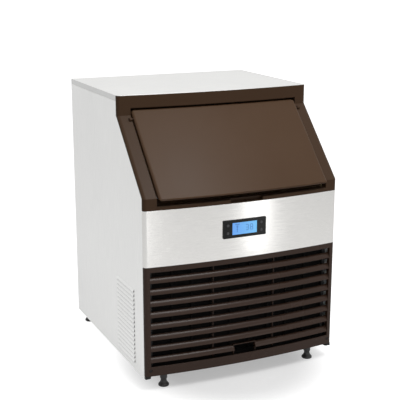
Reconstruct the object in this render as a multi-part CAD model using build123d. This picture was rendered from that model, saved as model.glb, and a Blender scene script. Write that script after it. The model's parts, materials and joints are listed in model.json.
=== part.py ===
from build123d import *
import math
import os

# Under-counter ice cube machine. Millimetres, +Z up, the front faces -Y.
# The shapes are drawn with y = 0 on the front edge of the side panels and z = 0
# on the floor. At the end everything moves back so that the origin lies at the
# middle of the footprint.

# Cabinet
width = 660.0
side_depth = 665.0
base_z = 42.0
grille_z = 52.0
grille_height = 349.0
band_height = 174.0
lip_height = 36.0
slope_run = 209.0
slope_rise = 215.0
fascia_height = 62.0
sheet = 1.0
seam = 0.5
touch = 0.3

# Bowed front, the same arc in plan for every front piece
bow = 21.0
corner_proud = 12.0
corner_radius = 12.0
smallest_round = 1.5

# Upper frame moulding
frame_wall = 3.0
lip_top = 12.0
window_half = 288.0
fascia_face = 40.0
pocket_depth = 28.0
pocket_rise = 20.0
pocket_headroom = 9.0
access_half = 250.0
access_start = 62.0
access_length = 200.0
notch_width = 110.0
notch_depth = 16.0
notch_floor = 2.0
frame_edge_round = 3.0

# Door
door_gap = 3.0
door_raise = 12.5
door_low = 30.0
door_top_gap = 6.0
door_wall = 3.0
door_round = 11.0
door_side_round = 8.0
door_edge_round = 4.0
round_clear = 0.1
door_back = 2.0
pin_along = 20.0
pin_out = 6.0
pin_radius = 3.0
pin_play = 0.05
pin_engage = 10.0
pin_boss_radius = 5.0
hinge_round = 32.0
liner_depth = 18.0
liner_start = 26.0
liner_end = 289.0
liner_wall = 2.5
gasket_width = 12.0
gasket_inset = 10.0

# Control band and display
display_x = -8.0
display_z = 94.0
display_width = 146.0
display_height = 57.0
display_proud = 2.0
display_depth = 12.0
display_rim = 4.0
screen_width = 84.0
screen_height = 38.0
screen_sink = 0.8
button_radius = 4.5
button_across = 57.0
button_up = 12.0
button_proud = 0.9
button_travel = 1.0
button_play = 0.25
board_gap = 2.0
board_thickness = 1.6
band_flange = 9.0

# Lower grille
grille_wall = 3.0
stile_width = 18.0
top_bar = 16.0
bottom_bar = 30.0
slat_count = 8
slat_pitch = 36.4
slat_low = 52.0
slat_rise = 16.0
slat_lean = 12.0
slat_thickness = 4.0
slat_bulge = 2.2
rib_across = 105.0
rib_thickness = 3.0
rib_depth = 8.0
pull_width = 74.0
pull_height = 30.0
pull_wall = 2.5
pull_sink = 6.0
grille_screw_across = 313.0
grille_screw_up = 18.0
recess_radius = 5.0
recess_depth = 1.6

# Side louvres
louvre_count = 17
louvre_pitch = 14.5
louvre_low = 24.0
louvre_length = 154.0
louvre_behind = 78.0
louvre_slot = 5.0
louvre_hood = 3.0
hood_height = 9.0

# Back vents
vent_count = 9
vent_pitch = 26.0
vent_low = 70.0
vent_length = 220.0
vent_slot = 8.0
vent_x = -120.0

# Base and feet
rail_width = 20.0
rail_height = 40.0
rail_wall = 2.0
rail_proud = 9.0
rail_round = 8.0
pan_z = 50.5
pan_sheet = 1.5
pan_upstand = 25.0
pan_clearance = 1.0
cross_width = 30.0
cross_height = 22.0
cross_wall = 2.0
front_foot_side = 72.0
front_foot_y = 20.0
back_foot_side = 34.0
back_foot_inset = 24.0
foot_pad_radius = 17.0
foot_neck_radius = 9.5
foot_stem_radius = 11.5
foot_pad_height = 5.0
stud_radius = 5.0
stud_play = 0.05
stud_length = 19.5
nut_half = 9.0
nut_height = 10.0

# Insulated bin
deck_sheet = 1.0
foam_gap = 1.0
front_foam = 27.0
side_foam = 45.0
back_foam = 40.0
floor_foam = 28.0
ceiling_foam = 48.0
bin_wall = 3.0

# Ice making section
grid_half = 171.0
grid_columns = 12
grid_rows = 7
grid_low = 610.0
grid_cell = 28.5
grid_depth = 25.0
grid_web = 2.0
grid_plate = 2.0
grid_from_back = 62.0
coil_radius = 5.0
coil_passes = 6
bracket_sheet = 3.0
bracket_ahead = 18.0
bracket_behind = 22.0
bracket_foot = 11.0
distributor_radius = 9.0
distributor_hole = 1.5
curtain_sheet = 3.0
curtain_ahead = 13.0
curtain_side_gap = 6.0
curtain_pin_radius = 2.5
trough_drop = 8.0
trough_height = 57.0
trough_width = 74.0
trough_wall = 3.0
pump_x = -130.0
pump_radius = 22.0
pump_motor_radius = 18.0
hose_radius = 4.0
hose_reach = 9.0
float_x = 120.0
float_radius = 12.0
float_height = 16.0
float_travel = 22.0
float_stem_radius = 3.0
float_play = 0.08

# Cooling section
filter_y = 8.0
filter_depth = 8.0
filter_bars = 9
condenser_x = -90.0
condenser_width = 350.0
condenser_height = 250.0
condenser_low = 75.0
condenser_depth = 44.0
condenser_y = 58.0
fin_count = 50
fin_slot = 4.5
fin_slot_depth = 15.0
return_bends = 6
bend_tube = 4.8
shroud_depth = 46.0
shroud_wall = 2.0
fan_radius = 111.0
fan_tip_gap = 5.0
fan_depth = 22.0
fan_blade_count = 5
fan_blade_sheet = 2.0
fan_pitch = 28.0
hub_radius = 22.0
shaft_radius = 4.0
shaft_play = 0.05
motor_radius = 38.0
motor_length = 62.0
compressor_x = 175.0
compressor_from_back = 195.0
compressor_radius = 78.0
compressor_height = 185.0
compressor_lift = 20.0
pipe_radius = 4.0
rear_proud = 24.0
stub_neck = 1.5
inlet_x = 215.0
inlet_z = 118.0
inlet_radius = 13.2
drain_x = 130.0
drain_z = 100.0
drain_radius = 10.0
drain_bore = 8.0
gland_x = 275.0
gland_z = 190.0
gland_radius = 11.0
gland_bore = 4.5
gland_proud = 14.0

# Screws
screw_radius = 2.0
screw_hole = 2.3
screw_head = 4.2
screw_head_height = 2.2
screw_length = 7.0
back_screw_inset = 14.0
front_return = 11.0
back_return = 22.0
fold_radius = 2.0
back_screw_rows = 4

# Levels and places worked out from the sizes above
band_z = grille_z + grille_height
lip_z = band_z + band_height
slope_z = lip_z + lip_height
knee_z = slope_z + slope_rise
top_z = knee_z + fascia_height
half_width = width / 2
front_foot_x = half_width - front_foot_side
back_foot_x = half_width - back_foot_side
compressor_y = side_depth - compressor_from_back
seam_z = top_z - sheet - 16.0
bow_radius = (half_width**2 + bow**2) / (2 * bow)
bow_centre = -corner_proud - bow + bow_radius
slope_length = math.hypot(slope_run, slope_rise)
down_y, down_z = -slope_run / slope_length, -slope_rise / slope_length
out_y, out_z = -slope_rise / slope_length, slope_run / slope_length
knee_y = slope_run - corner_proud
far = 2 * width


def block(x0, x1, y0, y1, z0, z1):
    """Box between two corners."""
    centre = Pos((x0 + x1) / 2, (y0 + y1) / 2, (z0 + z1) / 2)
    return centre * Box(x1 - x0, y1 - y0, z1 - z0)


def side_prism(points, x0, x1):
    """Prism across the machine from an outline of (y, z) points."""
    outline = make_face(Polyline(*points, close=True))
    return Pos(x0, 0, 0) * extrude(Plane.YZ * outline, x1 - x0)


def bar_x(y, z, radius, x0, x1):
    """Round bar along X."""
    return Pos((x0 + x1) / 2, y, z) * Rot(0, 90, 0) * Cylinder(radius, x1 - x0)


def bar_y(x, z, radius, y0, y1):
    """Round bar along Y."""
    return Pos(x, (y0 + y1) / 2, z) * Rot(90, 0, 0) * Cylinder(radius, y1 - y0)


def bar_z(x, y, radius, z0, z1):
    """Round bar along Z."""
    return Pos(x, y, (z0 + z1) / 2) * Cylinder(radius, z1 - z0)


def tube(points, radius, bend):
    """Round pipe along straight runs joined by bends."""
    path = FilletPolyline(*points, radius=bend)
    section = Plane(origin=path @ 0, z_dir=path % 0) * Circle(radius)
    return sweep(section, path=path)


def turned(points, x, y):
    """Solid turned about a vertical axis from (radius, z) points."""
    outline = make_face(Polyline(*points, close=True))
    return Pos(x, y, 0) * revolve(Plane.XZ * outline, Axis.Z)


def on_slope(along, out):
    """(y, z) of a point down the slope from the knee and out from its plane."""
    return (knee_y + along * down_y + out * out_y, knee_z + along * down_z + out * out_z)


def slope_block(half, along0, along1, out0, out1):
    """Box lying on the slope, symmetric about the middle."""
    corners = [(along0, out0), (along1, out0), (along1, out1), (along0, out1)]
    return side_prism([on_slope(a, o) for a, o in corners], -half, half)


def bowed_plan(inset, back, shift=0.0, half=half_width, radius=corner_radius):
    """Plan face from the bowed front back to y = back."""
    reach = bow_radius - inset
    centre = bow_centre + shift
    side = half - inset
    corner = centre - math.sqrt(reach**2 - side**2)
    outline = ThreePointArc((-side, corner), (0, centre - reach), (side, corner))
    outline += Polyline((side, corner), (side, back), (-side, back), (-side, corner))
    face = make_face(outline)
    return fillet(face.vertices().group_by(Axis.Y)[0], max(radius - inset, smallest_round))


def upright(inset, back, z0, z1, shift=0.0):
    """Vertical prism behind the bowed front."""
    return extrude(Pos(0, 0, z0) * bowed_plan(inset, back, shift), z1 - z0)


def leaning(face, z0, z1):
    """Prism whose front follows the slope, from a plan face set at height z0."""
    length = (z0 - z1) * slope_length / slope_rise
    return extrude(Pos(0, 0, z0) * face, length, dir=(0, down_y, down_z))


def envelope(inset, back, z0, z1):
    """Outer form of the upper front: lip, slope and fascia."""
    lip = upright(inset, back, z0, slope_z)
    slope = leaning(bowed_plan(inset, back + slope_run, slope_run), knee_z, slope_z)
    fascia = upright(inset, back + slope_run, knee_z, z1, slope_run)
    return lip + slope + fascia


def edge_ring(reach, centre, z, face_a, face_b, radius):
    """Ring that rounds an edge of the bowed front when it is taken away.

    The edge lies at reach from the centre of the bow and at height z. Each face is the
    (out, up) direction in which it leaves the edge. The ring stands round_clear off, so that
    it crosses both faces instead of only touching them.
    """
    middle = (face_a[0] + face_b[0], face_a[1] + face_b[1])
    size = math.hypot(*middle)
    middle = (middle[0] / size, middle[1] / size)
    half = math.acos(size / 2)
    run = radius / math.tan(half)
    near = radius / math.sin(half) - radius
    reach -= round_clear * middle[0]
    z -= round_clear * middle[1]

    def place(along, direction, clear=0.0):
        """(out, up) point along a direction, moved clear of the solid."""
        return (reach + along * direction[0] - clear * middle[0], z + along * direction[1] - clear * middle[1])

    a, b = place(run, face_a), place(run, face_b)
    outline = Polyline(a, place(run, face_a, run), place(0, face_a, 2 * run), place(run, face_b, run), b)
    outline += ThreePointArc(b, place(near, middle), a)
    span = 2 * math.degrees(math.asin(half_width / bow_radius)) + 1
    ring = revolve(Plane.XZ * make_face(outline), Axis.Z, span)
    return Pos(0, centre, 0) * Rot(0, 0, -90 - span / 2) * ring


def depth_line(depth, z):
    """y where the plane that lies depth behind the slope reaches height z."""
    along = (knee_z - depth * out_z - z) / -down_z
    return on_slope(along, -depth)[0]


def cabin_profile(front, floor, depth, ceiling, back):
    """(y, z) outline of the insulated space, cut by the slope and the door pocket."""
    kink = on_slope(-pocket_rise, -depth)
    foot_along = (knee_y - depth * out_y - front) / -down_y
    top_of_front = on_slope(foot_along, -depth)[1]
    return [(front, floor), (front, top_of_front), kink, (kink[0], ceiling),
            (back, ceiling), (back, floor)]


def pocket_profile(grow):
    """(y, z) outline of the recess that the door sits in."""
    depth = pocket_depth + grow
    low = lip_z + lip_top - grow
    high = top_z - sheet - fascia_face + pocket_headroom + grow
    kink = on_slope(-pocket_rise, -depth)
    return [(-far, low), (depth_line(depth, low), low), kink, (kink[0], high), (-far, high)]


def side_panel(side):
    """Steel side: a flat sheet with a front flange and punched louvres."""
    back = side_depth - sheet
    outline = [(0, base_z), (0, slope_z), (slope_run, knee_z), (slope_run, seam_z - seam),
               (back, seam_z - seam), (back, base_z)]
    inner = half_width - sheet
    panel = side_prism(outline, inner, half_width)
    panel += block(inner - front_return, inner, 0, sheet, grille_z, lip_z)
    fold = panel.edges().filter_by(Axis.Z).group_by(Axis.Y)[0].sort_by(Axis.X)[-1]
    panel = fillet(fold, fold_radius)
    panel += block(inner - back_return, inner, back - sheet, back, base_z + rail_height, seam_z - seam)
    for x, z in back_screw_places():
        if x > 0:
            panel -= bar_y(x, z, screw_radius + pin_play, back - 2, side_depth)
    start = louvre_behind
    end = louvre_behind + louvre_length
    for row in range(louvre_count):
        z = base_z + louvre_low + row * louvre_pitch
        outer = half_width + louvre_hood
        hood = [(inner, z), (outer, z), (half_width, z + hood_height), (inner, z + hood_height)]
        skin = sheet
        hollow = [(inner - 1, z - 1), (outer - skin, z - 1), (outer - skin, z + skin),
                  (half_width - skin, z + hood_height - 2 * skin), (inner - 1, z + hood_height - 2 * skin)]
        bump = extrude(Plane.XZ.offset(-start) * make_face(Polyline(*hood, close=True)), -louvre_length)
        void = extrude(Plane.XZ.offset(-start - skin) * make_face(Polyline(*hollow, close=True)),
                       -(louvre_length - 2 * skin))
        slot = block(inner - 1, half_width, start + skin, end - skin, z, z + louvre_slot)
        panel = panel + bump - void - slot
    return panel if side > 0 else mirror(panel, Plane.YZ)


def back_screw_places():
    """(x, z) of the screws round the back panel."""
    low = base_z + rail_height + back_screw_inset
    high = seam_z - back_screw_inset
    step = (high - low) / (back_screw_rows - 1)
    return [(s * (half_width - back_screw_inset), low + i * step)
            for s in (-1, 1) for i in range(back_screw_rows)]


def back_panel():
    """Steel back with exhaust slots and holes for the three connections."""
    y = side_depth - sheet
    panel = block(-half_width, half_width, y, side_depth, base_z, seam_z - seam)
    for row in range(vent_count):
        z = base_z + vent_low + row * vent_pitch
        slot = Plane.XZ.offset(-y) * Pos(vent_x, z) * SlotOverall(vent_length, vent_slot)
        panel -= extrude(slot, -2 * sheet, both=True)
    for x, z, radius in ((inlet_x, inlet_z, inlet_radius), (drain_x, drain_z, drain_radius),
                         (gland_x, gland_z, gland_radius - 2)):
        panel -= bar_y(x, z, radius + touch, y - 1, side_depth + 1)
    for x, z in back_screw_places():
        panel -= bar_y(x, z, screw_hole, y - 1, side_depth + 1)
    return panel


def top_panel():
    """Steel lid, bowed along its front edge, with flanges down the sides and back."""
    lid = upright(sheet, side_depth, top_z - sheet, top_z, slope_run)
    lid += block(-half_width, half_width, slope_run + seam, side_depth, top_z - sheet, top_z)
    for side in (-1, 1):
        x0, x1 = sorted((side * (half_width - sheet), side * half_width))
        lid += block(x0, x1, slope_run + seam, side_depth, seam_z, top_z)
    lid += block(-half_width, half_width, side_depth - sheet, side_depth, seam_z, top_z)
    edges = lid.edges().filter_by(Axis.Y).group_by(Axis.Z)[-1]
    return fillet(edges, 0.9)


def base_rail(side):
    """Black channel under each side, rounded at its inner front corner."""
    outer = half_width - sheet - touch
    inner = outer - rail_width
    y1 = side_depth - 8
    plan = Pos((inner + outer) / 2, (y1 - rail_proud) / 2) * Rectangle(rail_width, y1 + rail_proud)
    corner = plan.vertices().group_by(Axis.Y)[0].sort_by(Axis.X)[0]
    plan = fillet(corner, rail_round)
    rail = extrude(Pos(0, 0, base_z) * plan, rail_height)
    rail -= block(inner + rail_wall, outer - rail_wall, 6, y1 - rail_wall, base_z + rail_wall,
                  base_z + rail_height + 1)
    rail -= block(inner - 1, outer + 1, -rail_proud - 1, sheet + touch, grille_z - seam,
                  base_z + rail_height + 1)
    return rail if side > 0 else mirror(rail, Plane.YZ)


def base_pan():
    """Folded tray that carries the cooling unit, with holes for the feet."""
    half = half_width - sheet - touch - rail_width - pan_clearance
    y0, y1 = 3.0, side_depth - sheet - touch
    pan = block(-half, half, y0, y1, pan_z, pan_z + pan_sheet + pan_upstand)
    pan -= block(-half + pan_sheet, half - pan_sheet, y0 + pan_sheet, y1 - pan_sheet,
                 pan_z + pan_sheet, pan_z + pan_sheet + pan_upstand + 1)
    for x, y in foot_places():
        pan -= bar_z(x, y, stud_radius + 1, pan_z - 1, pan_z + pan_sheet + 1)
    pan -= block(gland_x, half + 1, y1 - pan_sheet - 1, y1 + 1, pan_z + pan_sheet + pan_upstand - 1,
                 pan_z + pan_sheet + pan_upstand + 1)
    return pan


def foot_places():
    """(x, y) of the four feet."""
    back_y = side_depth - back_foot_inset
    return [(-front_foot_x, front_foot_y), (front_foot_x, front_foot_y),
            (-back_foot_x, back_y), (back_foot_x, back_y)]


def crossmember(y, foot_x):
    """Inverted channel on the pan, with a nut for each of its two feet."""
    half = half_width - sheet - touch - rail_width - pan_clearance - pan_sheet - 1
    z0 = pan_z + pan_sheet
    top = z0 + cross_height
    member = block(-half, half, y - cross_width / 2, y + cross_width / 2, z0, top)
    inner = cross_width / 2 - cross_wall
    member -= block(-half - 1, half + 1, y - inner, y + inner, z0 - 1, top - cross_wall)
    for side in (-1, 1):
        x = side * foot_x
        member += block(x - nut_half, x + nut_half, y - inner - 0.5, y + inner + 0.5, z0, z0 + nut_height)
        member -= bar_z(x, y, stud_radius + stud_play, z0 - 1, z0 + nut_height + 1)
    return member


def foot(x, y):
    """Levelling foot: flared pad, waisted stem and threaded stud in one piece."""
    shoulder = pan_z - touch
    outline = [(0, 0), (foot_pad_radius - 1, 0), (foot_pad_radius, 1),
               (foot_pad_radius, foot_pad_height), (foot_neck_radius + 2, foot_pad_height + 7),
               (foot_neck_radius, foot_pad_height + 12), (foot_neck_radius, foot_pad_height + 18),
               (foot_stem_radius, foot_pad_height + 21), (foot_stem_radius, shoulder),
               (stud_radius, shoulder), (stud_radius, shoulder + stud_length),
               (0, shoulder + stud_length)]
    return turned(outline, x, y)


def upper_frame():
    """Brown surround: fascia, cheeks and lip round the pocket that the door sits in."""
    top = top_z - sheet
    frame = envelope(0, 0, lip_z, top)
    frame -= envelope(frame_wall, far, lip_z + frame_wall, top - frame_wall)
    solid = envelope(0, far / 4, lip_z, top)
    hollow = envelope(frame_wall + 1, far / 4 + 1, lip_z + frame_wall, top - frame_wall)
    tray = solid & side_prism(pocket_profile(frame_wall), -window_half - frame_wall,
                              window_half + frame_wall)
    room = side_prism(pocket_profile(0), -window_half, window_half)
    window_top = top - fascia_face
    frame = frame + tray
    frame -= room & (hollow + block(-far, far, -far, far, 0, window_top - frame_wall))
    frame -= block(-window_half, window_half, -far, slope_run, lip_z + lip_top, window_top)
    frame -= slope_block(access_half, access_start, access_start + access_length,
                         -pocket_depth - 2 * frame_wall, -pocket_depth + 1)
    opening = block(-window_half, window_half, -far, slope_run, 0, top)
    frame -= opening & edge_ring(bow_radius, bow_centre + slope_run, window_top, (0, 1), (-1, 0),
                                 frame_edge_round)
    frame -= opening & edge_ring(bow_radius, bow_centre, lip_z + lip_top, (0, -1), (-1, 0), frame_edge_round)
    pin_y, pin_z = on_slope(pin_along, pin_out)
    for side in (-1, 1):
        near, end = window_half, window_half + pin_engage
        x0, x1 = sorted((side * near, side * end))
        frame += bar_x(pin_y, pin_z, pin_boss_radius, *sorted((side * (near + 1), side * end)))
        frame -= bar_x(pin_y, pin_z, pin_radius + pin_play, x0 - 1, x1 + 1)
    half = notch_width / 2
    scoop_back = -corner_proud - bow + notch_depth
    floor = lip_z + notch_floor
    scoop = block(-half - 2, half + 2, -far, scoop_back + 2, lip_z, lip_z + lip_top)
    frame += scoop & upright(0, far, lip_z, lip_z + lip_top)
    frame -= block(-half, half, -far, scoop_back, floor, lip_z + lip_top + 1)
    return frame


def door_shift(z):
    """How far the door's face has moved back from the lip at height z."""
    return (z - slope_z) * slope_run / slope_rise - door_raise


def door_form(inset):
    """Outer form of the door panel, made smaller all round by inset."""
    half = window_half - door_gap
    start = top_z
    plan = bowed_plan(inset, side_depth, door_shift(start), half, door_side_round)
    body = leaning(plan, start, lip_z)
    low = lip_z + door_low + inset
    high = top_z - sheet - fascia_face - door_top_gap - inset
    face = Pos(0, (low + high) / 2) * RectangleRounded(2 * (half - inset) + 1, high - low, door_round)
    body &= extrude(Plane.XZ * face, far, both=True)
    up_slope = (slope_run / slope_length, -slope_rise / slope_length)
    body -= edge_ring(bow_radius - inset, bow_centre + door_shift(high), high, up_slope, (-1, 0),
                      2 * door_edge_round - inset)
    pin_y, pin_z = on_slope(pin_along, pin_out)
    keep = slope_block(half + 1, pin_along, 2 * slope_length, -far, far)
    keep += bar_x(pin_y, pin_z, hinge_round - inset, -half - 1, half + 1)
    return body & keep


def door_shell():
    """Brown outer panel of the door, bowed like the front and hollow behind."""
    behind = slope_block(far, -far, far, -far, -door_back)
    low = lip_z + door_low
    down_slope = (-slope_run / slope_length, slope_rise / slope_length)
    shell = door_form(0) - edge_ring(bow_radius, bow_centre + door_shift(low), low, down_slope, (-1, 0),
                                     door_edge_round)
    shell -= door_form(door_wall) + behind
    pin_y, pin_z = on_slope(pin_along, pin_out)
    half = window_half - door_gap
    for side in (-1, 1):
        x0, x1 = sorted((side * (half - 2 * pin_engage), side * (half - door_wall / 2)))
        boss = bar_x(pin_y, pin_z, pin_boss_radius, x0, x1) & door_form(0)
        shell += boss - behind
        x0, x1 = sorted((side * (half - 2 * pin_engage + 2), side * (half + 1)))
        shell -= bar_x(pin_y, pin_z, pin_radius, x0, x1)
    return shell


def door_liner():
    """White pan that closes the back of the door."""
    half = window_half - door_gap - 1
    pan = slope_block(half, liner_start, liner_end, -door_back - liner_depth, -door_back)
    pan -= slope_block(half - liner_wall, liner_start + liner_wall, liner_end - liner_wall,
                       -door_back - liner_depth + liner_wall, -door_back + 1)
    return pan


def door_gasket():
    """Rubber ring on the liner that meets the frame's flange."""
    half = window_half - door_gap - gasket_inset
    a0, a1 = liner_start + gasket_inset, liner_end - gasket_inset / 4
    back = -pocket_depth + touch
    face = -door_back - liner_depth
    ring = slope_block(half, a0, a1, back, face)
    w = gasket_width
    return ring - slope_block(half - w, a0 + w, a1 - w, back - 1, face + 1)


def hinge_pins():
    """Two steel pins at the top corners of the door."""
    y, z = on_slope(pin_along, pin_out)
    half = window_half - door_gap
    inner = half - 2 * pin_engage + 2
    outer = window_half + pin_engage - 1
    return Compound([bar_x(y, z, pin_radius, inner, outer), bar_x(y, z, pin_radius, -outer, -inner)])


def control_band():
    """Satin steel band, bowed and folded back at its top and bottom."""
    z0, z1 = band_z + touch, lip_z - touch
    back = -touch
    band = upright(0, back, z0, z1) - upright(sheet, back + 1, z0 - 1, z1 + 1)
    hole = upright(band_flange, back + 1, z0 - 1, z1 + 1)
    band += upright(0, back, z1 - sheet, z1) - hole
    band += upright(0, back, z0, z0 + sheet) - hole
    z = band_z + display_z
    w, h = display_width / 2 - display_rim, display_height / 2 - display_rim
    return band - block(display_x - w, display_x + w, -far, 0, z - h, z + h)


def display_face_y():
    """y of the flat front face of the display bezel."""
    return -corner_proud - bow - display_proud


def display_bezel():
    """Black moulding that clips into the band, with a screen window and four button holes."""
    z = band_z + display_z
    front = display_face_y()
    w, h = display_width / 2, display_height / 2
    outer = Pos(display_x, z) * RectangleRounded(2 * w, 2 * h, 3.0)
    rim_back = -corner_proud - bow - touch / 3
    bezel = extrude(Plane.XZ.offset(-front) * outer, -(rim_back - front))
    plug_w, plug_h = w - display_rim - touch, h - display_rim - touch
    plug = block(display_x - plug_w, display_x + plug_w, front + 1, front + display_depth,
                 z - plug_h, z + plug_h)
    plug -= block(display_x - plug_w + 2, display_x + plug_w - 2, front + 2.6,
                  front + display_depth + 1, z - plug_h + 2, z + plug_h - 2)
    bezel += plug
    sw, sh = screen_width / 2, screen_height / 2
    bezel -= block(display_x - sw, display_x + sw, front - 1, front + 8, z - sh, z + sh)
    for x, up in button_places():
        bezel -= bar_y(x, up, button_radius + button_play, front - 1, front + 8)
    return bezel


def button_places():
    """(x, z) of the four buttons, two each side of the screen."""
    z = band_z + display_z
    return [(display_x + side * button_across, z + up) for side in (-1, 1)
            for up in (button_up, -button_up)]


def display_window():
    """Screen that fills the bezel's window."""
    z = band_z + display_z
    y = display_face_y() + screen_sink
    w, h = screen_width / 2 - 0.1, screen_height / 2 - 0.1
    return block(display_x - w, display_x + w, y, y + 5.0, z - h, z + h)


def push_button(x, z):
    """Round button with a collar behind the bezel, set on a short stem."""
    front = display_face_y()
    cap = bar_y(x, z, button_radius, front - button_proud, front + 3.6)
    collar = bar_y(x, z, button_radius + 1.5, front + 2.9, front + 4.1)
    board = front + display_depth + board_gap
    stem = bar_y(x, z, 1.5, front + 4, board - button_travel - 1.2)
    return fillet(cap.edges().group_by(Axis.Y)[0], 0.5) + collar + stem


def display_board():
    """Circuit board behind the bezel, with the screen's support and four switches."""
    z = band_z + display_z
    front = display_face_y()
    y = front + display_depth
    w, h = display_width / 2 - display_rim - 2, display_height / 2 - display_rim - 2
    board = block(display_x - w, display_x + w, y + board_gap, y + board_gap + board_thickness,
                  z - h, z + h)
    sw, sh = screen_width / 2 - 3, screen_height / 2 - 3
    board += block(display_x - sw, display_x + sw, front + screen_sink + 5.0, y + board_gap,
                   z - sh, z + sh)
    for side in (-1, 1):
        x = display_x + side * (w - 3)
        board += block(x - 2, x + 2, y, y + board_gap, z - 3, z + 3)
    for x, up in button_places():
        board += bar_y(x, up, 3.0, y + board_gap - 0.9, y + board_gap)
    return board


def slat(z):
    """One leaning blade of the grille, turned about the centre of the bow."""
    face = bow_radius - 0.6
    lean = slat_lean
    up = slat_rise / 2
    t = slat_thickness
    nose, tail = (face, z - up), (face - lean, z + up)
    bulge = (face - lean / 2 + slat_bulge * 0.8, z + slat_bulge * 0.6)
    section = Polyline(tail, (face - lean - t, z + up - 1.5), (face - t - 1, z - up - 1),
                       (face - 1.2, z - up - 1.6), nose)
    section += ThreePointArc(nose, bulge, tail)
    outline = Plane.XZ * make_face(section)
    span = 2 * math.degrees(math.asin((half_width - stile_width + 4) / bow_radius))
    blade = revolve(outline, Axis.Z, span)
    return Pos(0, bow_centre, 0) * Rot(0, 0, -90 - span / 2) * blade


def slat_heights():
    """Height of the middle of each slat."""
    return [grille_z + slat_low + i * slat_pitch for i in range(slat_count)]


def lower_grille():
    """Louvred front moulding, bowed, with a finger pull in its lowest slat."""
    z0, z1 = grille_z, band_z - touch
    back = -touch
    grille = upright(0, back, z0, z1)
    grille -= upright(grille_wall, back + 1, z0 + grille_wall, z1 - grille_wall)
    open_half = half_width - stile_width
    low, high = z0 + bottom_bar, z1 - top_bar
    grille -= block(-open_half, open_half, -far, far, low, high)
    inner = upright(0.6, far, z0, z1) & block(-open_half - 1, open_half + 1, -far, far, z0, z1)
    for z in slat_heights():
        grille += slat(z) & inner
    stile_back = -corner_proud - bow + slat_lean + slat_thickness + 8
    for side in (-1, 1):
        x0, x1 = sorted((side * open_half, side * (open_half + 2.5)))
        grille += block(x0, x1, -far, -touch, low - 2, high + 2) & upright(1, far, z0, z1)
        x = side * rib_across
        rib = block(x - rib_thickness / 2, x + rib_thickness / 2, -far, far, low - 1, high + 1)
        ring = upright(slat_lean + slat_thickness - 1.5, far, z0, z1)
        ring -= upright(slat_lean + slat_thickness - 1.5 + rib_depth, far + 1, z0 - 1, z1 + 1)
        grille += rib & ring
    half = pull_width / 2
    rim = slat_lean + slat_thickness
    front = upright(pull_sink, far, low, low + pull_height + pull_wall)
    front -= upright(rim, far + 1, low - 1, low + pull_height + pull_wall + 1)
    frame = block(-half - pull_wall, half + pull_wall, -far, far, low, low + pull_height + pull_wall)
    grille -= block(-half, half, -far, far, low, low + pull_height)
    frame -= block(-half, half, -far, far, low, low + pull_height)
    grille += frame & front
    z = z0 + grille_screw_up
    for side in (-1, 1):
        x = side * grille_screw_across
        lug = bar_y(x, z, recess_radius + 2, -far / 8, -touch) & upright(0.5, far, z0, z1)
        grille += lug
        face = bow_centre - math.sqrt(bow_radius**2 - x**2)
        grille -= bar_y(x, z, recess_radius, -far / 8, face + recess_depth)
        grille -= bar_y(x, z, screw_radius + 0.05, face, 1)
    return grille


def pan_head(x, y, z, turn):
    """Pan-head screw whose head sits on a face at y, the shank running to +Y or -Y."""
    shank = bar_y(x, z, screw_radius, *sorted((y, y + turn * screw_length)))
    head = bar_y(x, z, screw_head, *sorted((y, y - turn * screw_head_height)))
    outer = head.edges().group_by(Axis.Y)[0 if turn > 0 else -1]
    return fillet(outer, screw_head_height * 0.6) + shank


def grille_screws():
    """Two screws in the lower corners of the grille."""
    x = grille_screw_across
    face = bow_centre - math.sqrt(bow_radius**2 - x**2) + recess_depth
    z = grille_z + grille_screw_up
    return Compound([pan_head(s * x, face, z, 1) for s in (-1, 1)])


def back_screws():
    """Screws that hold the back panel."""
    return Compound([pan_head(x, side_depth, z, -1) for x, z in back_screw_places()])


def machine_deck():
    """Sheet between the cooling section and the bin."""
    half = half_width - sheet - touch
    return block(-half, half, sheet + touch, side_depth - 2 * sheet - touch,
                 band_z + touch, band_z + touch + deck_sheet)


def insulation():
    """Foam round the bin, from the deck to the lid."""
    half = half_width - sheet - touch
    floor = band_z + touch + deck_sheet
    depth = pocket_depth + frame_wall + touch
    back = side_depth - sheet - touch
    outer = cabin_profile(sheet + foam_gap, floor, depth, top_z - sheet - touch, back)
    foam = side_prism(outer, -half, half)
    for side in (-1, 1):
        x0, x1 = sorted((side * (half - back_return - 2), side * (half + 1)))
        foam -= block(x0, x1, back - screw_length - 2, back + 1, floor - 1, seam_z)
    return foam - side_prism(bin_profile(0), -half_width + side_foam, half_width - side_foam)


def bin_profile(inset):
    """(y, z) outline of the bin liner, made smaller all round by inset."""
    depth = pocket_depth + frame_wall + touch + inset
    floor = band_z + touch + deck_sheet + floor_foam + inset
    back = side_depth - sheet - touch - back_foam - inset
    return cabin_profile(sheet + foam_gap + front_foam + inset, floor, depth,
                         top_z - sheet - ceiling_foam - inset, back)


def bin_liner():
    """White tub that holds the ice, open towards the door."""
    half = half_width - side_foam
    liner = side_prism(bin_profile(0), -half, half)
    liner -= side_prism(bin_profile(bin_wall), -half + bin_wall, half - bin_wall)
    depth = pocket_depth + frame_wall
    return liner - slope_block(access_half, access_start, access_start + access_length,
                               -depth - 3 * bin_wall, -depth + 1)


def bin_back():
    """y of the inner face of the bin's back wall."""
    return side_depth - sheet - touch - back_foam - bin_wall


def bin_ceiling():
    """z of the inner face of the bin's ceiling."""
    return top_z - sheet - ceiling_foam - bin_wall


def grid_y():
    """y of the front of the evaporator grid."""
    return bin_back() - grid_from_back


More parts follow.
